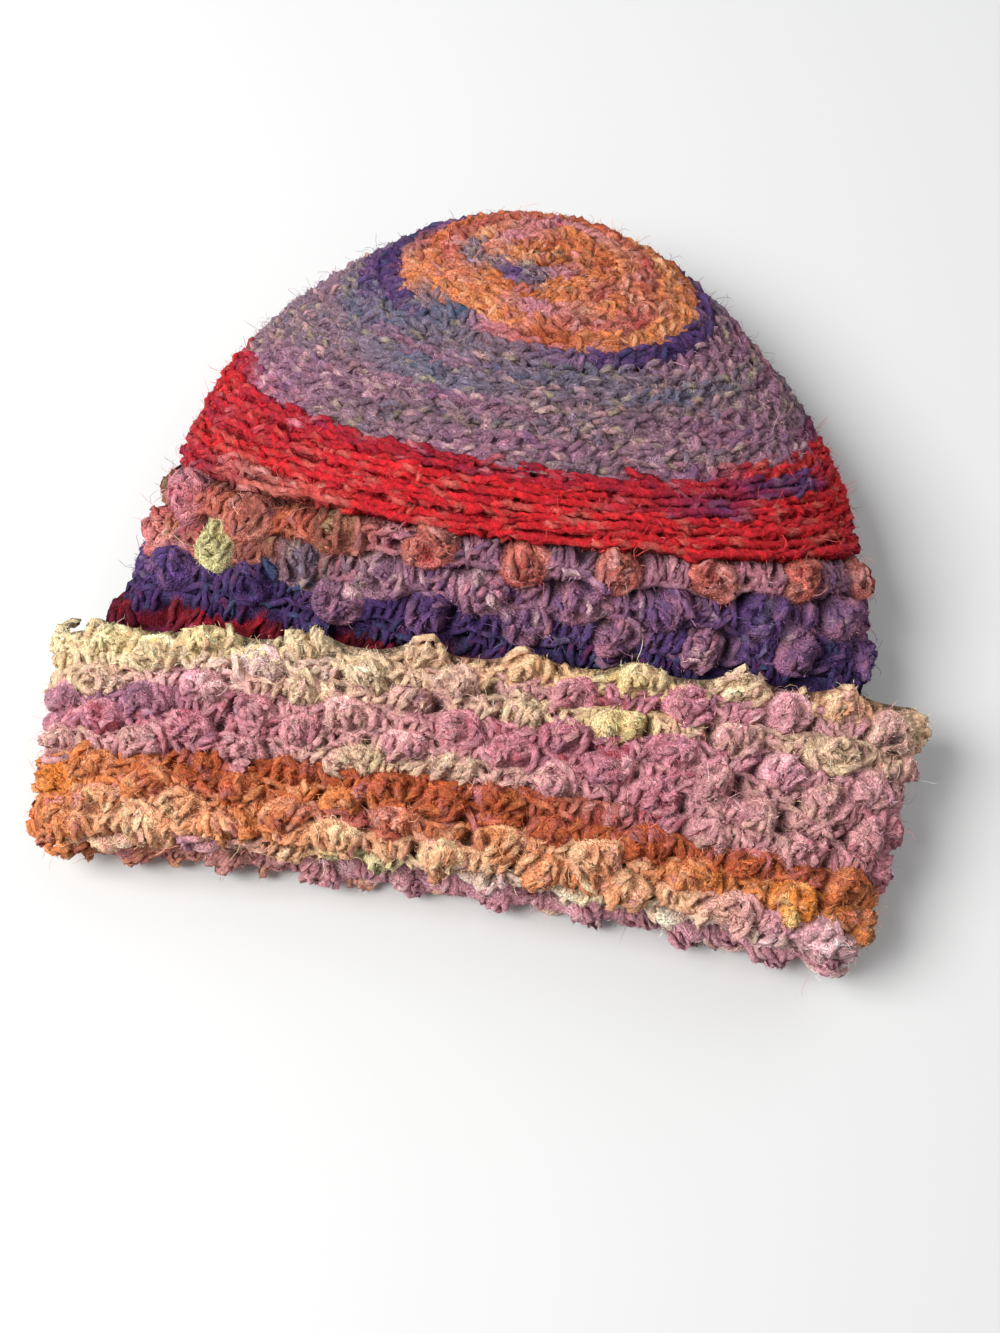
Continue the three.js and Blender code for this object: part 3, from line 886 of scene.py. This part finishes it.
def wool_material(name):
    """Spun wool: fine fibres that run round each ply, small flecks, and a soft bloom."""
    shader = Shader(name)
    place = shader.place()
    uv = shader.node("ShaderNodeUVMap", {"uv_map": "Yarn"})
    spin = shader.node("ShaderNodeMapping", {}, {"Vector": uv, "Rotation": (0, 0, 0.5), "Scale": (22, 4, 1)})
    streaks = shader.clear(shader.noise(spin, 1.0, 3.0, 0.65), 0.34, 0.66)
    flecks = shader.flecks(place, FLECKS)
    patches = shader.noise(place, 160.0)
    light = 0.14 + streaks * 0.65 + flecks * 0.65 + patches * 0.2 + shader.flecks(place, GRAIN) * 0.5
    return shader.finish(
        Base_Color=shader.shaded(shader.painted(), light), Roughness=WOOL_ROUGHNESS,
        Normal=shader.relief(streaks * 0.5 + flecks * 0.6, 0.9, 0.0008),
        Sheen_Weight=0.03, Sheen_Roughness=0.45, Specular_IOR_Level=0.12)


def felt_material(name):
    """Matted wool: crossing fibres of the colours round it."""
    shader = Shader(name)
    place = shader.place()
    wisps = shader.clear(shader.wisps(place, 150.0, 16.0, 2.5), 0.1, 0.9)
    flecks = shader.flecks(place, FLECKS)
    grain = shader.flecks(place, GRAIN)
    light = 0.20 + wisps * 0.40 + flecks * 0.70 + grain * 0.50
    return shader.finish(
        Base_Color=shader.shaded(shader.painted(), light), Roughness=WOOL_ROUGHNESS,
        Normal=shader.relief(wisps * 0.6 + flecks * 0.6 + grain * 0.3, 0.9, 0.001), Specular_IOR_Level=0.1)


def fuzz_material(name):
    """Loose fibres, some paler and some darker than the strand they come from."""
    shader = Shader(name)
    return shader.finish(Base_Color=shader.painted(), Roughness=0.9, Specular_IOR_Level=0.1)


def ground_material(name, colour):
    """Plain dense fabric of crossing strands, with no stitches of its own."""
    shader = Shader(name)
    place = shader.place()
    strands = shader.wisps(place, 110.0, 14.0, 2.0)
    flecks = shader.noise(place, 700.0, 3.0, 0.6)
    light = 0.35 + strands * 0.45 + flecks * 0.5
    shader.material.diffuse_color = (*colour, 1)
    return shader.finish(
        Base_Color=shader.shaded(shader.painted(), light), Roughness=WOOL_ROUGHNESS,
        Normal=shader.relief(strands + flecks * 0.5, 0.8, 0.0015))


def ground(name, fabric, low, high, stops, node, slot, depth=2.6, pole=False):
    """A plain closed wall of fabric where no stitches show, as at the crown's middle."""
    alongs = np.arange(low, high + 0.1, 3.0 if high - low > 6 else 1.5)
    alongs[-1] = high
    turns = np.arange(GROUND_COLUMNS) / GROUND_COLUMNS
    rng = np.random.default_rng(len(name))
    grid_along, grid_turn = np.meshgrid(alongs, turns, indexing="ij")
    height = -depth + rng.normal(0, 0.18, grid_along.shape)
    points, _ = fabric.place(grid_along, grid_turn, height)
    points[..., 2] = np.maximum(points[..., 2], FELT_FLOOR)
    index = np.arange(grid_along.size).reshape(grid_along.shape)
    after = np.roll(index, -1, axis=1)
    faces = np.stack([index[:-1], index[1:], after[1:], after[:-1]], -1).reshape(-1, 4)[:, ::-1].tolist()
    vertices = points.reshape(-1, 3)
    # Painted shade: the ground is painted at half its wool's colour, as the shaded fabric deep under the
    # stitches.
    colours = 0.5 * dyed(stops, grid_turn)[0].reshape(-1, 3)
    if pole:
        tip = fabric.points[-1].mean(axis=0) - fabric.normals[-1, 0] * depth
        vertices = np.concatenate([vertices, tip[None]])
        colours = np.concatenate([colours, colours[-1:]])
        faces += [(int(a), int(b), len(vertices) - 1) for a, b in zip(index[-1], after[-1])]
    mesh = bpy.data.meshes.new(name)
    mesh.from_pydata((vertices / METRE).tolist(), [], faces)
    paint(mesh, colours)
    mesh.polygons.foreach_set("use_smooth", np.ones(len(faces), bool))
    obj = bpy.data.objects.new(name, mesh)
    bpy.context.scene.collection.objects.link(obj)
    bpy.ops.object.select_all(action="DESELECT")
    obj.select_set(True)
    bpy.context.view_layer.objects.active = obj
    bpy.ops.object.mode_set(mode="EDIT")
    bpy.ops.mesh.select_all(action="SELECT")
    bpy.ops.mesh.normals_make_consistent(inside=False)
    bpy.ops.object.mode_set(mode="OBJECT")
    wall = obj.modifiers.new("Wall", "SOLIDIFY")
    wall.thickness = GROUND_WALL / METRE
    wall.offset = -1
    bpy.ops.object.modifier_apply(modifier=wall.name)
    tone = dyed(stops, np.array([0.25]))[0][0]
    return finish_piece(obj, ground_material(f"{name}_wool", [float(c) for c in tone]), node, slot)


def spread(values, times):
    """A grid of values blurred over its neighbours, round each round and up the fabric."""
    for _ in range(times):
        values = (np.roll(values, 1, axis=1) + 2 * values + np.roll(values, -1, axis=1)) / 4
        padded = np.concatenate([values[:1], values, values[-1:]])
        values = (padded[:-2] + 2 * values + padded[2:]) / 4
    return values


def denser(part, times):
    """More points along each strand, evenly between its own."""
    x = np.linspace(0, part.shape[1] - 1.0001, (part.shape[1] - 1) * times + 1)
    i = x.astype(int)
    f = (x - i).reshape(-1, *[1] * (part.ndim - 2))
    return part[:, i] * (1 - f) + part[:, i + 1] * f


def gathered(parts, times):
    """Strands of many stitches as one list of points."""
    dense = [[denser(part, times) for part in parts_of] for parts_of in parts]
    return [np.concatenate([part[k].reshape(-1, *part[k].shape[2:]) for part in dense])
            for k in range(len(dense[0]))]


class Mat:
    """The matted wool of a piece, as heights and colours on a grid of rows and turns."""

    def __init__(self, fabric, low, high, pitch, edge=None):
        rows = max(5, round((high - low) / pitch))
        self.fabric = fabric
        self.alongs = np.linspace(low, high, rows)
        self.start, self.end = UPSIDE
        self.share = self.end - self.start
        girth = float(fabric.girth((low + high) / 2))
        self.fine = round(girth * self.share / pitch)
        self.coarse = round(girth * (1 - self.share) / pitch / FELT_COARSE)
        self.turns = np.concatenate([
            np.linspace(self.start, self.end, self.fine, endpoint=False),
            np.linspace(self.end, self.start + 1, self.coarse, endpoint=False)])
        self.columns = len(self.turns)
        self.low, self.high = low, high
        self.edge = edge or (lambda turn: np.full_like(turn, high))
        shape = (rows, self.columns)
        self.heights = np.full(shape, FELT_LOW)
        self.weights = np.full((*shape, 1), 1e-6)
        self.colours = np.zeros((*shape, 3))

    def lay(self, along, turn, colour, reach, height):
        """Raise the wool round points, to height(square of the distance from them, which of them)."""
        turn = (turn - self.start) % 1 + self.start
        step = (self.edge(turn) - self.low) / (len(self.alongs) - 1)
        upper = turn < self.end
        pitch = self.fabric.girth(along) * np.where(
            upper, self.share / self.fine, (1 - self.share) / self.coarse)
        row = (along - self.low) / step
        column = np.interp(turn, [*self.turns, self.start + 1], np.arange(self.columns + 1))
        cells = math.ceil(reach / step.min())
        wide = min(16, math.ceil(reach / max(pitch.min(), 0.1)))
        for i in range(-cells, cells + 1):
            for j in range(-wide, wide + 1):
                r, c = np.rint(row).astype(int) + i, np.rint(column).astype(int) + j
                apart = ((r - row) * step)**2 + ((c - column) * pitch)**2
                near = (r >= 0) & (r < len(self.alongs)) & (apart < reach**2)
                cell = r[near], c[near] % self.columns
                top = height(apart[near], near)
                np.maximum.at(self.heights, cell, top)
                share = np.exp(2.4 * top)
                np.add.at(self.weights[..., 0], cell, share)
                np.add.at(self.colours, cell, colour[near] * share[:, None])

    def settle(self, rng):
        """Blur the wool a little, and paint shade into its hollows and low places."""
        colours = spread(self.colours, 1) / spread(self.weights, 1)
        uneven = rng.normal(0, 0.07, (*self.heights.shape, 1))
        heights = spread(self.heights[..., None], 1) - FELT_SINK + uneven
        # Painted shade: colours darken where the wool lies below the wool round it and where it lies low.
        hollow = (spread(heights, 7) - heights).clip(-1.0, 2.0)
        colours = colours * (1 - 0.36 * hollow) * (0.46 + 0.54 * ease((heights + 3.2) / 3.8))
        return heights[..., 0], colours


def felt(wool, name, fabric, low, high, material, node, slot, lean, pitch, depth, edge):
    """The matted wool that a piece's strands are worked of: a closed wall, shaped outside and plain inside.

    lean draws the wool's high places along the fabric, so that they hang over the hollow beside them.
    """
    mat = Mat(fabric, low, high, pitch, edge)
    along, turn, over, colour = gathered(wool.laid, 3)
    mat.lay(along, turn, colour, STRAND_REACH, lambda apart, near: over[near] - STRAND_FALL * apart)
    if wool.mounds:
        place, at, top, tone, wide, tall = gathered(wool.mounds, 3)
        mat.lay(place, at, tone, MOUND_REACH,
                lambda apart, near: top[near] - MOUND_SINK - tall[near] * apart / wide[near]**2)
    heights, colours = mat.settle(wool.rng)
    if edge:
        fall = EDGE_ROUND[:, None]
        heights[-len(fall):] = heights[-len(fall):] * fall + EDGE_LOW * (1 - fall)
    back = np.linspace(high, low, max(3, round((high - low) / FELT_BACK)))
    grid_along, grid_turn = np.meshgrid(np.concatenate([mat.alongs, back]), mat.turns, indexing="ij")
    ends = ease(np.minimum(mat.alongs - low, high - mat.alongs) / 2)[:, None]
    grid_along = low + (grid_along - low) * (mat.edge(grid_turn) - low) / (high - low)
    grid_along[:len(mat.alongs)] += lean * (heights.clip(-2, 5) + 1.0) * ends
    thinner = 0.6 * ease((back - high + 7) / 7) if edge else np.zeros_like(back)
    deep = depth * (1 - thinner)
    grid_height = np.concatenate([heights, np.repeat(-deep[:, None], mat.columns, axis=1)])
    points, normals = fabric.place(grid_along, grid_turn, grid_height)
    points[..., 2] = np.maximum(points[..., 2], FELT_FLOOR)
    index = np.arange(grid_along.size).reshape(grid_along.shape)
    above, after = np.roll(index, -1, axis=0), np.roll(index, -1, axis=1)
    faces = np.stack([index, above, np.roll(above, -1, axis=1), after], -1).reshape(-1, 4)
    mesh = bpy.data.meshes.new(name)
    mesh.from_pydata((points.reshape(-1, 3) / METRE).tolist(), [], faces.tolist())
    inner = np.broadcast_to(colours.mean(axis=(0, 1)) * 0.7, (len(back), mat.columns, 3))
    paint(mesh, np.concatenate([colours, inner]).reshape(-1, 3))
    mesh.polygons.foreach_set("use_smooth", np.ones(len(faces), bool))
    shown = np.zeros(heights.shape, bool)
    shown[1:-1] = heights[1:-1] > -1.5
    rows = slice(0, len(mat.alongs))
    wool.grow_from(points[rows], normals[rows], colours * 1.1, shown)
    return finish_piece(bpy.data.objects.new(name, mesh), material, node, slot)


def fuzz(wool, name, count, material, node, slot, seed):
    """Loose fibres on a piece's wool: many short ones that lie over it, and a few that stand out."""
    made = Wool(seed)
    root, out, colour = (np.concatenate(part) for part in zip(*wool.skin))
    free = out[:, 2] > UNDER_FIBRES
    skin = root[free], out[free], colour[free]
    count = int(count * bpy.context.scene.beanie_sizes.fuzz)
    fibres(made, skin, count, 3, 0.50, 0.16)
    fibres(made, skin, count // 18, 5, 1.5, 0.45, 0.75)
    return made.make(name, material, node, slot)


def fibres(made, skin, count, steps, reach, stand, thick=1.0):
    """Fibres of so many points. reach is their length in average lengths, stand how steeply they start."""
    rng = made.rng
    pick = rng.integers(0, len(skin[0]), count)
    root, out, colour = (part[pick] for part in skin)
    lengths = size("fibre_length") * reach * rng.uniform(0.4, 1.5, (count, 1))
    rise = stand * rng.uniform(0.3, 2.2, (count, 1))
    direction = unit(out * rise + unit(rng.normal(0, 1, (count, 3))) * 0.8)
    bend = rng.normal(0, 0.6, (count, 3))
    points = [root - out * 0.2]
    for k in range(1, steps):
        points.append(points[-1] + direction * lengths / (steps - 1))
        direction = unit(direction + bend + rng.normal(0, 0.4, (count, 3)) - out * 0.2 * k * (1 - stand))
    centres = np.stack(points, axis=1)
    centres[..., 2] = np.maximum(centres[..., 2], 0.3 + 0.1 * np.arange(steps))
    tint = rng.uniform(0.7, 1.8, (count, 1)) * rng.uniform(0.86, 1.14, (count, 3))
    made.spindles(centres, out, size("fibre") * thick * rng.uniform(0.8, 1.3, count), colour * tint)


def dress(node, slot, work, seed, count, fabric, low, high, lean=0.0, pitch=FELT_PITCH, depth=FELT_DEPTH,
          edge=None, piece=None, yarn=None):
    """One band's matted wool, the strands that stand out of it and their fibres."""
    piece, yarn = piece or node, yarn or slot
    wool = Wool(seed)
    work(wool)
    felt(wool, f"{piece}_felt", fabric, low, high, felt_material(f"{yarn}_felt"), node, slot,
         lean, pitch, depth, edge)
    wool.make(f"{piece}_stitches", wool_material(f"{yarn}_yarn"), node, slot)
    fuzz(wool, f"{piece}_fuzz", count, fuzz_material(f"{yarn}_fibre"), node, slot, seed + 1)


UP, DOWN = 1, -1  # which way a band was worked

DISC_ROWS = (
    (260.5, "0 orange, .3 rust, .6 peach"),
    (253, "0 orange, .15 rose, .26 mauve_grey, .36 mauve_grey, .44 orange, .8 rust"),
    (245.5, "0 rust, .12 orange, .22 orange, .26 mauve_grey, .34 violet, .44 mauve_grey, "
            ".49 orange, .6 rose, .8 orange"),
    (238, "0 orange, .1 coral, .2 orange, .3 rust, .4 orange, .43 mauve_grey, .52 mauve_grey, "
          ".55 orange, .75 rose"),
    (230.5, "0 coral, .12 orange, .25 rose, .33 orange, .5 coral, .8 rust"),
    (223, "0 orange, .1 coral, .2 coral, .3 orange, .42 orange, .52 rust, .8 orange"),
    (215.6, "0 orange, .14 orange, .24 rust, .31 rose, .34 slate, .40 mauve_grey, .44 orange, "
            ".6 violet, .9 rust"),
    (208.6, "0 violet, .1 indigo, .18 violet, .28 mauve_grey, .36 blue_grey, .42 violet, .5 indigo, "
            ".8 violet"),
)
SIDE_ROWS = (
    (201.2, "0 mauve_grey, .1 mauve, .2 blue_grey, .3 mauve_grey, .4 blue_grey, .5 violet, .7 mauve_grey"),
    (194.4, "0 mauve, .12 mauve_grey, .25 blue_grey, .36 mauve, .44 blue_grey, .55 mauve_grey"),
    (187.6, "0 mauve_grey, .14 blue_grey, .24 mauve_grey, .34 blue_grey, .46 mauve_grey, .7 mauve"),
    (180.8, "0 mauve, .1 mauve_grey, .22 mauve_grey, .32 blue_grey, .42 mauve_grey, .5 mauve_grey"),
    (174.0, "0 mauve_grey, .12 mauve, .2 mauve_grey, .3 mauve, .42 mauve_grey, .7 blue_grey"),
    (167.2, "0 mauve_grey, .1 mauve, .2 mauve_grey, .3 mauve_grey, .4 mauve, .5 mauve_grey"),
    (160.4, "0 plum, .05 mauve, .14 mauve_grey, .24 mauve, .34 mauve_grey, .44 mauve, "
            ".5 mauve_grey, .7 mauve_grey"),
    (153.8, "0 red, .1 red, .14 mauve, .22 mauve_grey, .3 mauve, .36 mauve_grey, .42 mauve, "
            ".48 crimson, .8 mauve"),
)
RED_ROWS = (
    (146.2, "0 red, .045 crimson, .06 violet, .1 plum, .14 crimson, .2 crimson, .3 crimson, "
            ".4 crimson, .48 red, .8 red"),
    (138.2, "0 red, .1 red, .13 plum, .17 crimson, .21 red, .35 red, .5 crimson, .8 red"),
    (130.2, "0 red, .2 red, .3 red, .42 red, .5 red, .8 crimson"),
    (122.4, "0 crimson, .06 red, .12 red, .2 red, .34 red, .4 coral, .46 crimson, .8 red"),
)
BOBBLE_ROWS = (
    (111.5, .33, "0 coral, .06 coral, .13 coral, .2 coral, .3 coral, .37 brown, .43 coral, "
                 ".47 rose, .51 brown, .8 rust",
     "0 mauve, .05 mauve, .1 rose, .2 mauve, .3 mauve, .34 coral, .4 rust, .45 coral, .5 rose, .8 mauve"),
    (99, .74, "0 mauve, .1 violet, .2 mauve, .3 mauve, .37 mauve_grey, .4 brown, .42 lime, "
              ".45 lime, .47 coral, .52 rose, .55 mauve",
     "0 mauve, .1 violet, .2 mauve, .28 mauve, .33 mauve, .38 brown, .44 coral, .5 violet, .8 indigo"),
    (89, .2, "0 violet, .1 mauve, .2 mauve, .3 violet, .34 mauve, .38 indigo, .48 violet, "
             ".6 indigo, .8 violet",
     "0 indigo, .1 violet, .2 violet, .3 indigo, .4 indigo, .5 violet, .8 indigo"),
)
HEM_ROWS = (
    (81, "0 indigo, .3 indigo, .5 indigo, .8 indigo"),
    (73.5, "0 indigo, .2 indigo, .3 dark_red, .38 dark_red, .41 crimson, .45 dark_red, .8 dark_red"),
    (66, "0 plum, .3 dark_red, .5 plum, .8 dark_red"),
    (58, "0 dark_red, .5 plum"),
)
EDGE_ROWS = (
    (76.5, .095, "0 beige, .06 peach, .12 beige, .18 straw, .24 peach, .3 beige, .36 cream, "
                 ".42 straw, .47 cream, .7 straw"),
    (68, .595, "0 beige, .05 dusty_pink, .1 pink, .13 rose, .19 rose, .23 dusty_pink, .3 beige, "
               ".36 pale_pink, .42 cream, .7 beige"),
)
BAND_ROWS = (
    (59.5, .095, "0 dusty_pink, .06 beige, .12 dusty_pink, .17 straw, .22 beige, .28 dusty_pink, "
                 ".34 beige, .4 pink, .46 beige, .7 beige"),
    (51, .595, "0 dusty_pink, .08 pink, .16 rose, .24 rose, .32 dusty_pink, .38 rose, .45 mauve, "
               ".5 pink, .7 pink"),
    (42.5, .095, "0 rose, .08 dusty_pink, .15 rose, .22 rose, .3 dusty_pink, .38 rose, .45 rose, .7 pink"),
    (34, .595, "0 rose, .08 dusty_pink, .15 rose, .22 dusty_pink, .3 beige, .34 dusty_pink, "
               ".4 rose, .45 dusty_pink, .7 pink"),
)
FOLD_ROWS = (
    (25.5, .095, "0 rose, .1 dusty_pink, .14 rose, .17 coral, .21 rust, .3 rust, .4 rust, "
                 ".46 orange, .5 orange, .7 rose"),
    (17, .595, "0 orange, .06 rust, .12 rust, .2 rust, .26 rust, .32 orange, .38 rust, .44 orange, "
               ".48 bright_orange, .7 rust"),
    (8.5, .095, "0 orange, .06 bright_orange, .12 orange, .18 peach, .24 orange, .3 coral, "
                ".36 orange, .42 peach, .48 orange"),
    (0, .595, "0 pale_pink, .06 pink, .12 peach, .18 orange, .24 peach, .3 peach, .36 orange, "
              ".42 peach, .48 orange"),
)
TIP_ROW = (
    -7.5, .095, "0 pink, .08 pale_pink, .16 cream, .22 pale_pink, .27 cream, .3 lime, .34 peach, "
                ".4 pink, .46 peach, .5 orange, .7 pink")
INSIDE_ROWS = (
    (-18, "0 dusty_pink, .2 dusty_pink, .3 peach, .5 peach, .7 pink"),
    (-25.5, "0 rose, .3 coral, .5 rose, .7 mauve"),
    (-33, "0 plum, .4 rose, .7 mauve"),
    (-40.5, "0 plum, .5 dark_red"),
    (-48, "0 dark_red, .5 plum"),
    (-55.5, "0 dark_red, .5 crimson"),
)


def work_disc(wool):
    for along, stops in DISC_ROWS:
        plain_round(wool, BODY, along, stops, 6.0, rise=5.0, lean=0.5, mess=0.8)


def work_side(wool):
    for along, stops in SIDE_ROWS:
        plain_round(wool, BODY, along, stops, size("stitch_width"), rise=3.5)


def work_red(wool):
    for row, (along, stops) in enumerate(RED_ROWS):
        rib_round(wool, BODY, along, row, stops, thick=1.2)
        turn = spots(0.1 + 0.5 * (row % 2))
        legs(wool, BODY, np.full(REPEATS, along), turn, np.full(REPEATS, 5.0), 10.0, stops, -1, 0.3,
             drawn=True)
        for side in (-1, 1):
            turn = spots(wool.rng.uniform(0, 1), SLANTED)
            place = along + RIB * side + wool.rng.normal(0, 0.7, SLANTED)
            width = wool.rng.uniform(9, 14, SLANTED)
            strays(wool, BODY, place, turn, stops, width, np.full(SLANTED, 0.5), 0.9, 0.22, True)


def work_bobbles(wool):
    for row, (along, phase, stops, between) in enumerate(BOBBLE_ROWS):
        bobble_round(wool, BODY, along, phase, stops, DOWN, grow=1.1 - 0.05 * row, between=between)


def work_hem(wool):
    for row, (along, stops) in enumerate(HEM_ROWS):
        rib_round(wool, BODY, along, row, stops, over=-1.0, drawn=False)
        filling(wool, BODY, along + 1.0, 0.3 * row, stops, DOWN, count=4, drawn=row < 3)


def work_edge(wool):
    tips, below = EDGE_ROWS
    picot_round(wool, CUFF, *tips)
    bobble_round(wool, CUFF, *below, UP)


def work_band(wool):
    for row in BAND_ROWS:
        bobble_round(wool, CUFF, *row, UP)


def work_fold(wool):
    for row in FOLD_ROWS:
        bobble_round(wool, CUFF, *row, UP)


def work_tip(wool):
    """The round under the fold, and the layer inside the mouth."""
    bobble_round(wool, CUFF, *TIP_ROW, UP, grow=0.9)
    for row, (along, stops) in enumerate(INSIDE_ROWS):
        rib_round(wool, CUFF, along, row, stops, over=-1.0, drawn=row < 2)


class BEANIE_OT_crown(bpy.types.Operator):
    """Crochet the crown's disc and its plain side."""

    bl_idname = "beanie.crown"
    bl_label = "Crown"

    def execute(self, context):
        dress("crown_disc", "orange_wool", work_disc, 11, 4900, BODY, 203.5, 258, pitch=1.0)
        dress("crown_side", "mauve_grey_wool", work_side, 21, 8600, BODY, 149.5, 204.5, pitch=1.0)
        ground("crown_disc_ground", BODY, 254, 262, DISC_ROWS[3][1], "crown_disc", "orange_wool", 0.9,
               pole=True)
        return {"FINISHED"}


class BEANIE_OT_red_band(bpy.types.Operator):
    """Crochet the red band of long ropes."""

    bl_idname = "beanie.red_band"
    bl_label = "Red band"

    def execute(self, context):
        dress("red_band", "red_wool", work_red, 31, 6200, BODY, 117.5, 150.5)
        return {"FINISHED"}


class BEANIE_OT_bobble_band(bpy.types.Operator):
    """Crochet the rounds of bobbles below the red band."""

    bl_idname = "beanie.bobble_band"
    bl_label = "Bobble band"

    def execute(self, context):
        dress("bobble_band", "indigo_rust_wool", work_bobbles, 41, 7600, BODY, 81.5, 119, -0.2)
        return {"FINISHED"}


class BEANIE_OT_hem(bpy.types.Operator):
    """Crochet the fabric that goes down inside the cuff."""

    bl_idname = "beanie.hem"
    bl_label = "Hem"

    def execute(self, context):
        dress("hem_band", "dark_red_wool", work_hem, 51, 1200, BODY, 56, 82, pitch=1.2)
        ground("hem_band_ground", BODY, 8.5, 56, HEM_ROWS[3][1], "hem_band", "dark_red_wool")
        return {"FINISHED"}


class BEANIE_OT_cuff(bpy.types.Operator):
    """Crochet the turned-up cuff, from its fold to its edge."""

    bl_idname = "beanie.cuff"
    bl_label = "Cuff"

    def execute(self, context):
        dress("cuff_edge", "cream_wool", work_edge, 61, 4700, CUFF, 64, 80, 0.25, edge=picots)
        dress("cuff_band", "pink_mauve_wool", work_band, 71, 8900, CUFF, 30, 65, 0.25)
        dress("cuff_fold", "peach_rust_wool", work_fold, 81, 8900, CUFF, -5, 31, 0.25)
        dress("cuff_fold", "peach_rust_wool", work_tip, 91, 2500, CUFF, -57, -4.5, pitch=1.4, depth=3.2,
              piece="cuff_tip", yarn="pale_pink")
        return {"FINISHED"}


class BEANIE_OT_stage(bpy.types.Operator):
    """Set the pale floor, the soft lights and the camera."""

    bl_idname = "beanie.stage"
    bl_label = "Stage"

    def execute(self, context):
        bpy.ops.object.select_all(action="DESELECT")
        bpy.ops.mesh.primitive_plane_add(size=6.0, location=(0, 0, 0))
        floor = context.object
        floor.name = "floor"
        shader = Shader("pale_floor")
        floor.data.materials.append(shader.finish(Base_Color=(0.55, 0.55, 0.54, 1), Roughness=0.8))
        for name, place, wide, power in (
                ("window", (-0.85, -0.25, 1.15), 0.8, 34.0), ("fill", (0.8, 0.9, 1.1), 1.4, 8.0)):
            bpy.ops.object.light_add(type="AREA", location=place)
            light = context.object
            light.name = name
            light.data.size = wide
            light.data.energy = power
            light.rotation_euler = (-Vector(place)).to_track_quat("-Z", "Y").to_euler()
        world = bpy.data.worlds.new("soft_room")
        world.use_nodes = True
        world.node_tree.nodes["Background"].inputs["Color"].default_value = (0.92, 0.95, 1.0, 1)
        world.node_tree.nodes["Background"].inputs["Strength"].default_value = 0.42
        context.scene.world = world
        place = (Vector(CAMERA_PLACE) + Vector(SHIFT)) / METRE
        aim = (Vector(CAMERA_AIM) + Vector(SHIFT)) / METRE
        bpy.ops.object.camera_add(location=place, rotation=(aim - place).to_track_quat("-Z", "Y").to_euler())
        camera = context.object
        camera.name = "photograph_camera"
        camera.data.lens = LENS
        camera.data.clip_start = 0.01
        context.scene.camera = camera
        context.scene.view_settings.view_transform = "Standard"
        return {"FINISHED"}


OPERATORS = (
    BEANIE_OT_crown, BEANIE_OT_red_band, BEANIE_OT_bobble_band, BEANIE_OT_hem, BEANIE_OT_cuff,
    BEANIE_OT_stage)


class BEANIE_PT_panel(bpy.types.Panel):
    """The beanie's sizes, colours and steps."""

    bl_label = "Crocheted beanie"
    bl_idname = "BEANIE_PT_panel"
    bl_space_type = "VIEW_3D"
    bl_region_type = "UI"
    bl_category = "Beanie"

    def draw(self, context):
        for group in (context.scene.beanie_sizes, context.scene.beanie_dyes):
            column = self.layout.column(align=True)
            for name in group.__annotations__:
                column.prop(group, name)
        for operator in OPERATORS:
            self.layout.operator(operator.bl_idname)


CLASSES = (BeanieSizes, BeanieDyes, *OPERATORS, BEANIE_PT_panel)


def register():
    for item in CLASSES:
        bpy.utils.register_class(item)
    bpy.types.Scene.beanie_sizes = bpy.props.PointerProperty(type=BeanieSizes)
    bpy.types.Scene.beanie_dyes = bpy.props.PointerProperty(type=BeanieDyes)


def unregister():
    del bpy.types.Scene.beanie_dyes
    del bpy.types.Scene.beanie_sizes
    for item in reversed(CLASSES):
        bpy.utils.unregister_class(item)


def main():
    register()
    bpy.ops.beanie.crown()
    bpy.ops.beanie.red_band()
    bpy.ops.beanie.bobble_band()
    bpy.ops.beanie.hem()
    bpy.ops.beanie.cuff()
    bpy.ops.beanie.stage()


if __name__ == "__main__":
    main()
